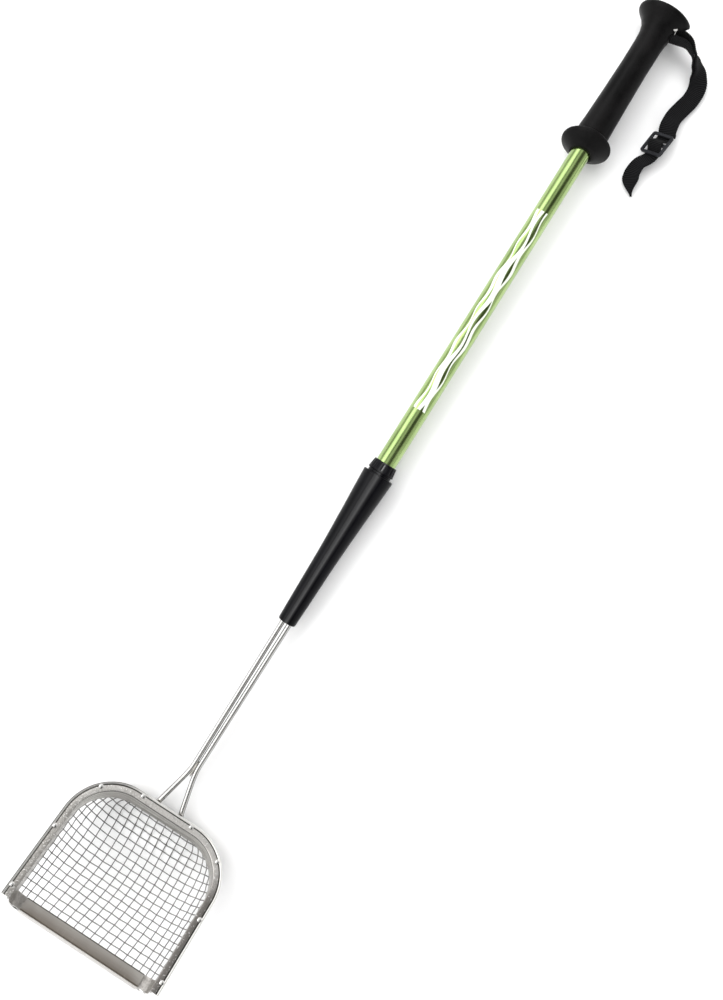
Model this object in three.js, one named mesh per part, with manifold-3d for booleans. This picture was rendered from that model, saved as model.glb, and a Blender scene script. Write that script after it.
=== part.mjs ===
// A child's beach sand scoop: a wire basket in a sheet steel frame on a long handle.
// It lies on its back with the basket's mouth up. +X runs towards the grip, +Z is up.
// Units are millimetres.
import * as THREE from 'three';
import { mergeVertices } from 'three/addons/utils/BufferGeometryUtils.js';
import Module from 'manifold-3d';

const wasm = await Module();
wasm.setup();

// ---------------------------------------------------------------- driving dimensions

// Places along the shaft, measured from the middle of the tool.
const HEEL_X = -268;
const FORK_X = -237;
const SLEEVE_FRONT_X = -105;
const SLEEVE_BACK_X = 22;
const COLLAR_FRONT_X = 24.6;
const COLLAR_BACK_X = 32;
const FLANGE_X = 299;
const HEAD_RIM_X = 401;
const HEAD_TOP_X = 404.8;

const GAP = 0.3;

// Scoop frame: a sheet arch with an outward flange and an upright wall.
const FRAME_WIDTH = 128;
const FRAME_LENGTH = 108.4;
const FRAME_CORNER = 39;
const FLANGE_WIDTH = 5.5;
const WALL_DEPTH = 20;
const SHEET = 1.0;
const SCOOP_TILT = THREE.MathUtils.degToRad(38);
const HEEL_HEIGHT = 3.5;

// Lip plate across the mouth, and the round corners that carry it up to the walls.
const LIP_LENGTH = 9.5;
const LIP_OVERHANG = 2;
const LIP_CORNER = 8;
const LIP_TAB = 7;
const HEM_RADIUS = 1.1;

// Wire basket.
const CLOTH = 1.0;
const BAG_DEPTH = 36;

// Shaft.
const TUBE_RADIUS_FRONT = 7.75;
const TUBE_RADIUS_BACK = 7.15;
const TUBE_WALL = 1.2;
const TUBE_FRONT_X = -18;
const TUBE_BACK_X = 340;
const ROD_RADIUS = 1.95;
const ROD_SPREAD_TOP = 2.75;
const ROD_SPREAD_FORK = 2.1;
const ROD_SPREAD_HEEL = 10.5;
const CROSS_PIN_X = -9;
const CROSS_PIN_RADIUS = 1.5;

// Grip.
const HEAD_RADIUS = 20.3;
const HAND_STOP_RADIUS = 18.6;
const HAND_STOP_CANT = THREE.MathUtils.degToRad(17);
const HAND_STOP_YAW = THREE.MathUtils.degToRad(5);

// Wrist strap.
const WEBBING_WIDTH = 12.7;
const WEBBING_THICKNESS = 1.5;
const PIN_X = 395.2;
const PIN_Y = -10.5;
const PIN_RADIUS = 1.5;
const PIN_LENGTH = 20;

// ---------------------------------------------------------------- materials

const FINISHES = {
  rubber: { color: 0x1c1c1d, roughness: 0.55, metalness: 0.0 },
  webbing: { color: 0x121213, roughness: 0.9, metalness: 0.0 },
  buckle_plastic: { color: 0x26282b, roughness: 0.45, metalness: 0.0 },
  sleeve_plastic: { color: 0x19191b, roughness: 0.4, metalness: 0.0 },
  inner_plastic: { color: 0x2c2c2e, roughness: 0.7, metalness: 0.0 },
  green_aluminium: { color: 0x86b82f, roughness: 0.22, metalness: 0.75 },
  brushed_steel: { color: 0xa9a49b, roughness: 0.38, metalness: 0.95 },
  lip_steel: { color: 0x8d857b, roughness: 0.45, metalness: 0.9 },
  polished_steel: { color: 0xc9c8c4, roughness: 0.16, metalness: 1.0 },
  wire_steel: { color: 0x8c8a84, roughness: 0.35, metalness: 0.95 },
};

// ---------------------------------------------------------------- geometry helpers

function signedVolume(geometry) {
  const p = geometry.attributes.position;
  const index = geometry.index;
  const a = new THREE.Vector3();
  const b = new THREE.Vector3();
  const c = new THREE.Vector3();
  let volume = 0;
  for (let i = 0; i < index.count; i += 3) {
    a.fromBufferAttribute(p, index.getX(i));
    b.fromBufferAttribute(p, index.getX(i + 1));
    c.fromBufferAttribute(p, index.getX(i + 2));
    volume += a.dot(b.cross(c)) / 6;
  }
  return volume;
}

// Welds a geometry into one closed surface that faces out.
function closed(geometry) {
  const bare = geometry.clone();
  bare.deleteAttribute('normal');
  bare.deleteAttribute('uv');
  const welded = mergeVertices(bare, 1e-4);
  const order = welded.index.array;
  const kept = [];
  for (let i = 0; i < order.length; i += 3) {
    const [a, b, c] = [order[i], order[i + 1], order[i + 2]];
    if (a !== b && b !== c && c !== a) kept.push(a, b, c);
  }
  welded.setIndex(kept);
  if (signedVolume(welded) < 0) {
    for (let i = 0; i < kept.length; i += 3) {
      [kept[i], kept[i + 1]] = [kept[i + 1], kept[i]];
    }
    welded.setIndex(kept);
  }
  welded.computeVertexNormals();
  return welded;
}

function toSolid(geometry) {
  const welded = closed(geometry);
  return new wasm.Manifold(new wasm.Mesh({
    numProp: 3,
    vertProperties: new Float32Array(welded.attributes.position.array),
    triVerts: new Uint32Array(welded.index.array),
  }));
}

function fromSolid(solid) {
  const mesh = solid.getMesh();
  const geometry = new THREE.BufferGeometry();
  geometry.setAttribute('position', new THREE.BufferAttribute(mesh.vertProperties, 3));
  geometry.setIndex(new THREE.BufferAttribute(mesh.triVerts, 1));
  geometry.computeVertexNormals();
  return geometry;
}

// Adds the first list of geometries together, then cuts the second list out of them.
function combine(added, cut = []) {
  let solid = toSolid(added[0]);
  for (const geometry of added.slice(1)) solid = solid.add(toSolid(geometry));
  for (const geometry of cut) solid = solid.subtract(toSolid(geometry));
  return fromSolid(solid);
}

// A turned piece round the X axis. The profile holds [radius, x] pairs.
function turned(profile, segments = 32) {
  const points = profile.map(([r, x]) => new THREE.Vector2(r, x));
  const geometry = new THREE.LatheGeometry(points, segments);
  geometry.rotateZ(-Math.PI / 2);
  return geometry;
}

// A turned tube with one wall, from an outer profile and an inner one.
function turnedTube(outer, inner, segments = 32) {
  return turned([...outer, ...[...inner].reverse(), outer[0]], segments);
}

function rodAlongX(radius, x0, x1, segments = 24) {
  return turned([[0, x0], [radius, x0], [radius, x1], [0, x1]], segments);
}

// A flat plate: a shape in X and Y, from z0 up to z1.
function plate(shape, z0, z1, curveSegments = 12) {
  const options = { depth: z1 - z0, bevelEnabled: false, curveSegments };
  const geometry = new THREE.ExtrudeGeometry(shape, options);
  geometry.translate(0, 0, z0);
  return geometry;
}

// A round bar along a curve.
function bar(curve, radius, steps, sides = 12) {
  const circle = new THREE.Shape();
  circle.absarc(0, 0, radius, 0, Math.PI * 2, false);
  const options = { steps, extrudePath: curve, bevelEnabled: false, curveSegments: sides / 2 };
  return new THREE.ExtrudeGeometry(circle, options);
}

// Bends a box of nu by nv cells: place(u, v, t) gives the point for 0 to 1 in each direction.
function bentBox(nu, nv, place) {
  const geometry = new THREE.BoxGeometry(1, 1, 1, nu, nv, 1);
  const p = geometry.attributes.position;
  for (let i = 0; i < p.count; i += 1) {
    const point = place(p.getX(i) + 0.5, p.getY(i) + 0.5, p.getZ(i) + 0.5);
    p.setXYZ(i, point.x, point.y, point.z);
  }
  return geometry;
}

function mix(a, b, t) {
  return a + (b - a) * t;
}

function smooth(edge0, edge1, x) {
  const t = Math.min(Math.max((x - edge0) / (edge1 - edge0), 0), 1);
  return t * t * (3 - 2 * t);
}

// ---------------------------------------------------------------- the assembly

const part = new THREE.Group();
part.name = 'sand_scoop';
const tool = new THREE.Group();
const scoop = new THREE.Group();
const strap = new THREE.Group();
part.add(tool);
tool.add(scoop);
part.add(strap);

function add(parent, name, geometry, finish) {
  const { color, roughness, metalness } = FINISHES[finish];
  const material = new THREE.MeshStandardMaterial({ color, roughness, metalness });
  material.name = finish;
  const mesh = new THREE.Mesh(closed(geometry), material);
  mesh.name = name;
  parent.add(mesh);
  return mesh;
}

// ---------------------------------------------------------------- shaft

function tubeRadius(x) {
  const t = (x - TUBE_FRONT_X) / (TUBE_BACK_X - TUBE_FRONT_X);
  return mix(TUBE_RADIUS_FRONT, TUBE_RADIUS_BACK, t);
}

// The pin through the tube and the core, or, made wider and longer, the hole it needs.
function crossPin(radius, length) {
  const pin = new THREE.CylinderGeometry(radius, radius, length, 16);
  pin.rotateX(Math.PI / 2);
  pin.translate(CROSS_PIN_X, 0, 0);
  return pin;
}

function shaftTube() {
  const outer = [
    [tubeRadius(TUBE_FRONT_X), TUBE_FRONT_X],
    [tubeRadius(TUBE_BACK_X), TUBE_BACK_X],
  ];
  const inner = outer.map(([r, x]) => [r - TUBE_WALL, x]);
  const tube = turnedTube(outer, inner, 48);
  return combine([tube], [crossPin(CROSS_PIN_RADIUS + GAP, 20)]);
}

function collar() {
  const bore = TUBE_RADIUS_FRONT + GAP;
  const outer = [
    [9.1, SLEEVE_BACK_X + GAP],
    [9.1, COLLAR_FRONT_X - 0.6],
    [9.9, COLLAR_FRONT_X - 0.2],
    [10.2, COLLAR_FRONT_X + 0.6],
    [9.0, COLLAR_BACK_X - 0.5],
    [8.7, COLLAR_BACK_X],
  ];
  const inner = [[bore, SLEEVE_BACK_X + GAP], [bore, COLLAR_BACK_X]];
  return turnedTube(outer, inner, 40);
}

function sleeve() {
  const outer = [
    [6.3, SLEEVE_FRONT_X],
    [6.9, SLEEVE_FRONT_X + 0.7],
    [7.0, SLEEVE_FRONT_X + 3],
    [7.6, -78],
    [8.4, -46],
    [9.9, -14],
    [11.4, 12],
    [11.8, SLEEVE_BACK_X - 1],
    [11.4, SLEEVE_BACK_X],
  ];
  const bore = TUBE_RADIUS_FRONT + GAP;
  const inner = [
    [5.2, SLEEVE_FRONT_X],
    [5.2, SLEEVE_FRONT_X + 4],
    [5.9, SLEEVE_FRONT_X + 4.2],
    [5.9, -64],
    [bore, TUBE_FRONT_X - 6],
    [bore, SLEEVE_BACK_X],
  ];
  return turnedTube(outer, inner, 40);
}

// The core joins the tube and the rods. Its nose holds the rods, its tail fits in the tube.
function rodSocket() {
  const tail = TUBE_RADIUS_BACK - TUBE_WALL + 0.1;
  const body = turned([
    [0, -100],
    [5.6, -100],
    [5.6, -64],
    [7.0, TUBE_FRONT_X - 6],
    [7.0, TUBE_FRONT_X - GAP],
    [tail, TUBE_FRONT_X - GAP],
    [tail, 12],
    [tail - 1, 13],
    [0, 13],
  ], 28);
  const holes = [-1, 1].map((side) => {
    const hole = rodAlongX(ROD_RADIUS + GAP, -101, -58, 16);
    hole.translate(0, side * ROD_SPREAD_TOP, 0);
    return hole;
  });
  return combine([body], [...holes, crossPin(CROSS_PIN_RADIUS + GAP, 20)]);
}

// A point in the scoop's own axes: q from heel to lip, w across, n out of the mouth.
function scoopPoint(q, w, n) {
  return new THREE.Vector3(
    HEEL_X - q * Math.cos(SCOOP_TILT) + n * Math.sin(SCOOP_TILT),
    -w,
    HEEL_HEIGHT + q * Math.sin(SCOOP_TILT) + n * Math.cos(SCOOP_TILT),
  );
}

// One rod: straight beside its twin, out at the fork, then down the back of the frame.
function rod(side) {
  const footTop = scoopPoint(0.6, side * ROD_SPREAD_HEEL, -5.6);
  const footEnd = scoopPoint(0.6, side * (ROD_SPREAD_HEEL + 0.6), -17);
  const y = (spread) => -side * spread;
  const points = [
    new THREE.Vector3(-60, y(ROD_SPREAD_TOP), 0),
    new THREE.Vector3(-100, y(ROD_SPREAD_TOP), 0),
    new THREE.Vector3(FORK_X + 4, y(ROD_SPREAD_FORK), 0),
    new THREE.Vector3(FORK_X - 4, y(ROD_SPREAD_FORK + 1.1), 0),
    new THREE.Vector3(footTop.x + 4.5, y(ROD_SPREAD_HEEL - 1.2), -0.1),
    new THREE.Vector3(footTop.x + 0.9, y(ROD_SPREAD_HEEL - 0.1), footTop.z - 0.2),
    footEnd,
  ];
  const path = new THREE.CurvePath();
  let from = points[0];
  for (let i = 1; i < points.length - 1; i += 1) {
    const reach = Math.min(
      4,
      points[i].distanceTo(points[i - 1]) / 2.2,
      points[i].distanceTo(points[i + 1]) / 2.2,
    );
    const before = points[i].clone().lerp(points[i - 1], reach / points[i].distanceTo(points[i - 1]));
    const after = points[i].clone().lerp(points[i + 1], reach / points[i].distanceTo(points[i + 1]));
    path.add(new THREE.LineCurve3(from, before));
    path.add(new THREE.QuadraticBezierCurve3(before, points[i], after));
    from = after;
  }
  path.add(new THREE.LineCurve3(from, points[points.length - 1]));
  return bar(path, ROD_RADIUS, 72, 12);
}

// ---------------------------------------------------------------- grip

function grip() {
  const barrel = turned([
    [0, FLANGE_X - 4],
    [12.2, FLANGE_X - 4],
    [12.2, FLANGE_X + 3],
    [11.3, FLANGE_X + 19],
    [10.6, FLANGE_X + 41],
    [10.1, FLANGE_X + 63],
    [10.1, HEAD_RIM_X - 22],
    [10.6, HEAD_RIM_X - 15],
    [12.0, HEAD_RIM_X - 10],
    [14.8, HEAD_RIM_X - 5.8],
    [18.2, HEAD_RIM_X - 2.6],
    [19.8, HEAD_RIM_X - 0.9],
    [HEAD_RADIUS, HEAD_RIM_X + 0.6],
    [19.7, HEAD_RIM_X + 2.1],
    [17.6, HEAD_RIM_X + 3.2],
    [12, HEAD_TOP_X - 0.2],
    [0, HEAD_TOP_X],
  ], 48);
  const handStop = turned([
    [0, -8],
    [8.6, -8],
    [9.6, -7.4],
    [16.9, -2.4],
    [18.2, -1.3],
    [HAND_STOP_RADIUS, 0.1],
    [18.2, 1.4],
    [16.4, 2.3],
    [12, 3.6],
    [0, 4.4],
  ], 48);
  handStop.rotateZ(HAND_STOP_YAW);
  handStop.rotateY(HAND_STOP_CANT);
  handStop.translate(FLANGE_X, 0, 0);

  const bore = rodAlongX(TUBE_RADIUS_BACK + 0.4, FLANGE_X - 20, TUBE_BACK_X + 1, 32);
  const capPocket = rodAlongX(8.5, HEAD_TOP_X - 5.2, HEAD_TOP_X + 5, 32);
  const pinHole = new THREE.CylinderGeometry(PIN_RADIUS + GAP, PIN_RADIUS + GAP, PIN_LENGTH + 0.8, 16);
  pinHole.rotateX(Math.PI / 2);
  pinHole.translate(PIN_X, PIN_Y, 0);
  return combine([barrel, handStop], [bore, capPocket, strapNotch(), pinHole]);
}

// The fan-shaped pocket in the side of the head that lets the strap swing round its pin.
function strapNotch() {
  const room = 4.2;
  const reach = 16;
  const outer = THREE.MathUtils.degToRad(35);
  const inner = THREE.MathUtils.degToRad(-50);
  const shape = new THREE.Shape();
  shape.moveTo(Math.cos(outer) * room, Math.sin(outer) * room);
  shape.absarc(0, 0, room, outer, Math.PI - Math.abs(inner) + 0.2, false);
  shape.lineTo(Math.sin(inner) * reach - Math.cos(inner) * room, -Math.cos(inner) * reach + 1);
  shape.lineTo(-reach, -reach);
  shape.lineTo(Math.sin(outer) * reach + Math.cos(outer) * room, -Math.cos(outer) * reach);
  shape.closePath();
  const half = WEBBING_WIDTH / 2 + 0.8;
  const notch = plate(shape, -half, half);
  notch.translate(PIN_X, PIN_Y, 0);
  return notch;
}

function gripCap() {
  const cap = turned([
    [0, HEAD_TOP_X - 4.8],
    [7.8, HEAD_TOP_X - 4.8],
    [8.2, HEAD_TOP_X - 4.4],
    [8.2, HEAD_TOP_X - 0.2],
    [7.8, HEAD_TOP_X + 0.3],
    [5, HEAD_TOP_X + 0.6],
    [0, HEAD_TOP_X + 0.7],
  ], 32);
  const slot = new THREE.BoxGeometry(2.4, 9, 1.6);
  slot.translate(HEAD_TOP_X + 0.4, 0, 0);
  return combine([cap], [slot]);
}

function strapPin() {
  const pin = new THREE.CylinderGeometry(PIN_RADIUS, PIN_RADIUS, PIN_LENGTH, 16);
  pin.rotateX(Math.PI / 2);
  pin.translate(PIN_X, PIN_Y, 0);
  return pin;
}

function tubeBung() {
  const r = TUBE_RADIUS_BACK - TUBE_WALL - GAP;
  return turned([
    [0, TUBE_BACK_X - 9],
    [r - 0.4, TUBE_BACK_X - 9],
    [r, TUBE_BACK_X - 8],
    [r, TUBE_BACK_X - 0.5],
    [r - 0.5, TUBE_BACK_X],
    [0, TUBE_BACK_X],
  ], 24);
}

// ---------------------------------------------------------------- scoop frame

// The arch outline set in by an offset from the flange's outer edge.
// Its axes are the scoop's: x from heel to lip, y across.
function archPath(path, inset, front, reverse) {
  const r = FRAME_CORNER - inset;
  const half = FRAME_WIDTH / 2 - inset;
  const cx = FRAME_CORNER;
  const cy = FRAME_WIDTH / 2 - FRAME_CORNER;
  if (!reverse) {
    path.moveTo(front, half);
    path.lineTo(cx, half);
    path.absarc(cx, cy, r, Math.PI / 2, Math.PI, false);
    path.lineTo(inset, -cy);
    path.absarc(cx, -cy, r, Math.PI, Math.PI * 1.5, false);
    path.lineTo(front, -half);
  } else {
    path.lineTo(front, -half);
    path.lineTo(cx, -half);
    path.absarc(cx, -cy, r, Math.PI * 1.5, Math.PI, true);
    path.lineTo(inset, cy);
    path.absarc(cx, cy, r, Math.PI, Math.PI / 2, true);
    path.lineTo(front, half);
  }
}

function archRing(outerInset, innerInset, front) {
  const shape = new THREE.Shape();
  archPath(shape, outerInset, front, false);
  archPath(shape, innerInset, front, true);
  shape.closePath();
  return shape;
}

const WALL_INNER_HALF = FRAME_WIDTH / 2 - FLANGE_WIDTH - SHEET;

// The places of the rivets along the flange, as [q, w] in the scoop's axes.
function rivetPlaces() {
  const middle = FLANGE_WIDTH / 2;
  const side = FRAME_WIDTH / 2 - middle;
  const cy = FRAME_WIDTH / 2 - FRAME_CORNER;
  const shoulder = FRAME_CORNER - middle;
  const diagonal = Math.SQRT1_2 * shoulder;
  const right = [
    [FRAME_LENGTH - 8, side],
    [FRAME_LENGTH - 55, side],
    [FRAME_CORNER - diagonal, cy + diagonal],
    [middle, cy - 4],
  ];
  return [...right, ...right.map(([q, w]) => [q, -w])];
}

function rimFrame() {
  const flange = plate(archRing(0, FLANGE_WIDTH + SHEET, FRAME_LENGTH), -SHEET, 0, 14);
  const wall = plate(
    archRing(FLANGE_WIDTH, FLANGE_WIDTH + SHEET, FRAME_LENGTH),
    -WALL_DEPTH + LIP_CORNER, -SHEET / 2, 14,
  );
  const heelWall = plate(
    archRing(FLANGE_WIDTH, FLANGE_WIDTH + SHEET, FRAME_LENGTH - LIP_LENGTH),
    -WALL_DEPTH, -SHEET / 2, 14,
  );
  const corners = [-1, 1].map((side) => cornerTab(side));
  const holes = rivetPlaces().map(([q, w]) => {
    const hole = new THREE.CylinderGeometry(1.2, 1.2, 4, 12);
    hole.rotateX(Math.PI / 2);
    hole.translate(q, w, 0);
    return hole;
  });
  return combine([flange, wall, heelWall, ...corners], holes);
}

// A quarter-round strip that carries the side wall's foot in under the lip plate.
function cornerTab(side) {
  const outer = LIP_CORNER + SHEET;
  const top = -WALL_DEPTH + LIP_CORNER;
  const foot = WALL_INNER_HALF - LIP_CORNER;
  const shape = new THREE.Shape();
  shape.moveTo(foot + outer, top + 1);
  shape.lineTo(foot + outer, top);
  shape.absarc(foot, top, outer, 0, -Math.PI / 2, true);
  shape.lineTo(foot - LIP_TAB, top - outer);
  shape.lineTo(foot - LIP_TAB, top - LIP_CORNER);
  shape.lineTo(foot, top - LIP_CORNER);
  shape.absarc(foot, top, LIP_CORNER, -Math.PI / 2, 0, false);
  shape.lineTo(foot + LIP_CORNER, top + 1);
  shape.closePath();
  const strip = plate(shape, 0, LIP_LENGTH, 10);
  // The strip's cross section is drawn in w and n, so it is stood up along q.
  const turn = new THREE.Matrix4().makeBasis(
    new THREE.Vector3(0, side, 0),
    new THREE.Vector3(0, 0, 1),
    new THREE.Vector3(side, 0, 0),
  );
  strip.applyMatrix4(turn);
  strip.translate(side > 0 ? FRAME_LENGTH - LIP_LENGTH : FRAME_LENGTH, 0, 0);
  return strip;
}

// The flat plate across the mouth, on top of the corner tabs, with a rolled front edge.
function lipPlate() {
  const half = WALL_INNER_HALF - LIP_CORNER - 0.6;
  const bottom = -WALL_DEPTH + GAP;
  const front = FRAME_LENGTH + LIP_OVERHANG;
  const sheet = new THREE.BoxGeometry(LIP_LENGTH + LIP_OVERHANG - 1, half * 2, SHEET);
  sheet.translate(front - 1 - (LIP_LENGTH + LIP_OVERHANG - 1) / 2, 0, bottom + SHEET / 2);
  const hem = new THREE.CylinderGeometry(HEM_RADIUS, HEM_RADIUS, half * 2 + 6, 16);
  // A flat side of the roll meets the sheet, so that the roll doesn't overhang the sheet's face.
  hem.rotateY(Math.PI / 16);
  hem.translate(front - HEM_RADIUS, 0, bottom + HEM_RADIUS);
  return combine([sheet, hem]);
}

// The strip outside the wall that clamps the cloth's margin.
function retainingBand() {
  const outer = FLANGE_WIDTH - GAP - CLOTH - GAP - 0.8;
  const ring = archRing(outer, outer + 0.8, FRAME_LENGTH - LIP_LENGTH - 4);
  return plate(ring, -WALL_DEPTH, -WALL_DEPTH + 7, 14);
}

function rivet() {
  const shape = [
    [0, -1.9],
    [0.9, -1.9],
    [0.9, GAP],
    [1.75, GAP],
    [1.7, 0.6],
    [1.2, 0.95],
    [0, 1.1],
  ];
  const geometry = turned(shape, 16);
  geometry.rotateY(-Math.PI / 2);
  return geometry;
}

// ---------------------------------------------------------------- wire basket

const CLOTH_INSET = FLANGE_WIDTH - GAP - CLOTH / 2;
const BAG_FRONT = FRAME_LENGTH - LIP_LENGTH - 1.2;

function clothHalfWidth(q) {
  const r = FRAME_CORNER - CLOTH_INSET;
  const cy = FRAME_WIDTH / 2 - FRAME_CORNER;
  if (q >= FRAME_CORNER) return cy + r;
  const reach = FRAME_CORNER - q;
  return cy + Math.sqrt(Math.max(r * r - reach * reach, 0));
}

// How deep the bag is along its middle, q from the heel edge of the cloth to the lip.
function bagDepth(q) {
  const start = smooth(CLOTH_INSET - 1, CLOTH_INSET + 17, q);
  const rise = smooth(BAG_FRONT + 4, 34, q);
  return (BAG_DEPTH - WALL_DEPTH - 1) * Math.min(start, 1) * rise;
}

// A point on the bag, u across from -1 to 1, v along from heel to lip, both by rough length.
function bagPoint(u, v) {
  const q = mix(CLOTH_INSET, BAG_FRONT, v);
  const half = clothHalfWidth(q);
  const a = u * Math.PI / 2;
  const across = Math.sign(a) * Math.abs(Math.sin(a)) ** 0.85;
  const w = half * across;
  const hollow = (1 - Math.abs(across) ** 5) ** 0.55;
  const n = -WALL_DEPTH - CLOTH / 2 - 0.35 - bagDepth(q) * hollow;
  return new THREE.Vector3(q, w, n);
}

function wireBasket() {
  const step = 1e-3;
  return bentBox(30, 26, (s, t, side) => {
    const u = s * 2 - 1;
    const here = bagPoint(u, t);
    const alongU = bagPoint(Math.min(u + step, 1), t).sub(bagPoint(Math.max(u - step, -1), t));
    const alongV = bagPoint(u, Math.min(t + step, 1)).sub(bagPoint(u, Math.max(t - step, 0)));
    const normal = alongV.cross(alongU).normalize();
    if (Math.abs(u) > 0.999 || t < 0.001 || t > 0.999) normal.set(0, 0, 1);
    if (normal.z < 0) normal.negate();
    return here.addScaledVector(normal, (side - 0.5) * CLOTH);
  });
}

// ---------------------------------------------------------------- build the rigid tool

add(tool, 'tube', shaftTube(), 'green_aluminium');
add(tool, 'collar', collar(), 'sleeve_plastic');
add(tool, 'sleeve', sleeve(), 'sleeve_plastic');
add(tool, 'rod_socket', rodSocket(), 'inner_plastic');
add(tool, 'cross_pin', crossPin(CROSS_PIN_RADIUS, 15.2), 'polished_steel');
add(tool, 'rod_left', rod(-1), 'polished_steel');
add(tool, 'rod_right', rod(1), 'polished_steel');
add(tool, 'grip', grip(), 'rubber');
add(tool, 'grip_cap', gripCap(), 'inner_plastic');
add(tool, 'strap_pin', strapPin(), 'polished_steel');
add(tool, 'tube_bung', tubeBung(), 'inner_plastic');

scoop.rotation.order = 'YXZ';
scoop.rotation.y = SCOOP_TILT;
scoop.rotation.z = Math.PI;
scoop.position.set(HEEL_X, 0, HEEL_HEIGHT);
add(scoop, 'rim_frame', rimFrame(), 'brushed_steel');
add(scoop, 'lip_plate', lipPlate(), 'lip_steel');
add(scoop, 'retaining_band', retainingBand(), 'brushed_steel');
add(scoop, 'wire_basket', wireBasket(), 'wire_steel');
rivetPlaces().forEach(([q, w], i) => {
  const mesh = add(scoop, `rivet_${i + 1}`, rivet(), 'polished_steel');
  mesh.position.set(q, w, 0);
});

// ---------------------------------------------------------------- rest it on the floor

// The tool lies on the basket's lowest point and the edge of the grip's head.
function lowestPoint(root, slope) {
  root.updateMatrixWorld(true);
  const point = new THREE.Vector3();
  const low = new THREE.Vector3(0, 0, Infinity);
  root.traverse((item) => {
    if (!item.isMesh) return;
    const p = item.geometry.attributes.position;
    for (let i = 0; i < p.count; i += 1) {
      point.fromBufferAttribute(p, i).applyMatrix4(item.matrixWorld);
      if (point.z + slope * point.x < low.z + slope * low.x) low.copy(point);
    }
  });
  return low;
}

let lean = 0;
for (let i = 0; i < 4; i += 1) {
  const front = lowestPoint(scoop, lean);
  const back = new THREE.Vector3(HEAD_RIM_X + 0.6, 0, -HEAD_RADIUS);
  lean = (front.z - back.z) / (back.x - front.x);
}
const LEAN = Math.atan(lean);
const REST_HEIGHT = HEAD_RADIUS * Math.cos(LEAN) - (HEAD_RIM_X + 0.6) * Math.sin(LEAN);
tool.rotation.y = -LEAN;
tool.position.set(0, 0, REST_HEIGHT);

// ---------------------------------------------------------------- wrist strap

// The strap's middle line: [x, y, height over the floor, twist in degrees].
// At twist 0 the webbing stands on edge, at 90 it lies flat.
const PIN_HEIGHT = REST_HEIGHT + PIN_X * Math.sin(LEAN);
const STRAP_LINE = [
  [PIN_X, PIN_Y, PIN_HEIGHT, 0],
  [PIN_X + 1.2, PIN_Y - 6, PIN_HEIGHT, 0],
  [PIN_X + 1.2, PIN_Y - 12, PIN_HEIGHT - 0.8, 2],
  [394, -29, PIN_HEIGHT - 3.5, 14],
  [390, -36, PIN_HEIGHT - 8, 42],
  [385.5, -42, 7, 72],
  [380, -45.6, 3.6, 88],
  [371, -46.2, 2.6, 90],
  [362, -44.2, 2.9, 90],
  [354, -42.6, 4.0, 92],
  [346, -42.8, 6.6, 104],
  [338, -43.5, 9.4, 126],
  [329, -42.5, 9.8, 130],
  [320, -41.5, 9.4, 130],
  [312, -38.8, 6.6, 128],
  [303.5, -38.6, 5.2, 122],
  [296, -42.0, 4.0, 112],
  [290, -47.0, 2.4, 100],
];
const BUCKLE_STATION = 12;

const strapCurve = new THREE.CatmullRomCurve3(
  STRAP_LINE.map(([x, y, z]) => new THREE.Vector3(x, y, z)), false, 'centripetal',
);
const STRAP_STEPS = 340;
const strapPoints = strapCurve.getPoints(STRAP_STEPS);
const strapLength = [0];
for (let i = 1; i <= STRAP_STEPS; i += 1) {
  strapLength.push(strapLength[i - 1] + strapPoints[i].distanceTo(strapPoints[i - 1]));
}
const stationStep = STRAP_STEPS / (STRAP_LINE.length - 1);
const BUCKLE_AT = strapLength[Math.round(BUCKLE_STATION * stationStep)];
const STRAP_END = strapLength[STRAP_STEPS];

// The strap's frame at a distance along it: place, direction, width and normal.
function strapFrame(distance) {
  let i = strapLength.findIndex((length) => length >= distance);
  if (i < 1) i = 1;
  const span = strapLength[i] - strapLength[i - 1];
  const step = i - 1 + (distance - strapLength[i - 1]) / span;
  const at = strapCurve.getPoint(Math.min(step / STRAP_STEPS, 1));
  const tangent = strapCurve.getTangent(Math.min(Math.max(step / STRAP_STEPS, 0.001), 0.999));
  const station = step / stationStep;
  const k = Math.min(Math.floor(station), STRAP_LINE.length - 2);
  const t = station - k;
  const eased = t * t * (3 - 2 * t);
  const twist = THREE.MathUtils.degToRad(mix(STRAP_LINE[k][3], STRAP_LINE[k + 1][3], eased));
  const side = new THREE.Vector3(0, 0, 1).cross(tangent).normalize();
  const up = tangent.clone().cross(side).normalize();
  const width = up.clone().multiplyScalar(Math.cos(twist)).addScaledVector(side, -Math.sin(twist));
  const normal = side.clone().multiplyScalar(Math.cos(twist)).addScaledVector(up, Math.sin(twist));
  return { at, tangent, width, normal };
}

// The webbing bows over the buckle's middle bar and under its two end bars.
function bowAtBuckle(distance) {
  const near = Math.min(Math.abs(distance - BUCKLE_AT), 6);
  const bow = 2.75 * Math.cos(Math.PI * near / 6);
  return mix(bow, 0, smooth(BUCKLE_AT + 9, BUCKLE_AT + 20, distance));
}

// Offset of the upper layer: clear of the pin, close to its twin, then through the buckle.
function upperOffset(distance) {
  const pinSide = mix(2.7, 1.1, smooth(4, 20, distance));
  return mix(pinSide, bowAtBuckle(distance), smooth(BUCKLE_AT - 18, BUCKLE_AT - 10, distance));
}

function lowerOffset(distance) {
  const pinSide = mix(-2.7, -1.1, smooth(4, 20, distance));
  return mix(pinSide, -4.95, smooth(BUCKLE_AT - 26, BUCKLE_AT - 12, distance));
}

// A ribbon through a list of stations, each with a place, a width and a thickness direction.
function ribbon(stations) {
  const count = stations.length - 1;
  return bentBox(count, 1, (s, t, side) => {
    const station = stations[Math.round(s * count)];
    return station.at.clone()
      .addScaledVector(station.width, (t - 0.5) * WEBBING_WIDTH * (station.scale ?? 1))
      .addScaledVector(station.out, (side - 0.5) * WEBBING_THICKNESS);
  });
}

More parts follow.
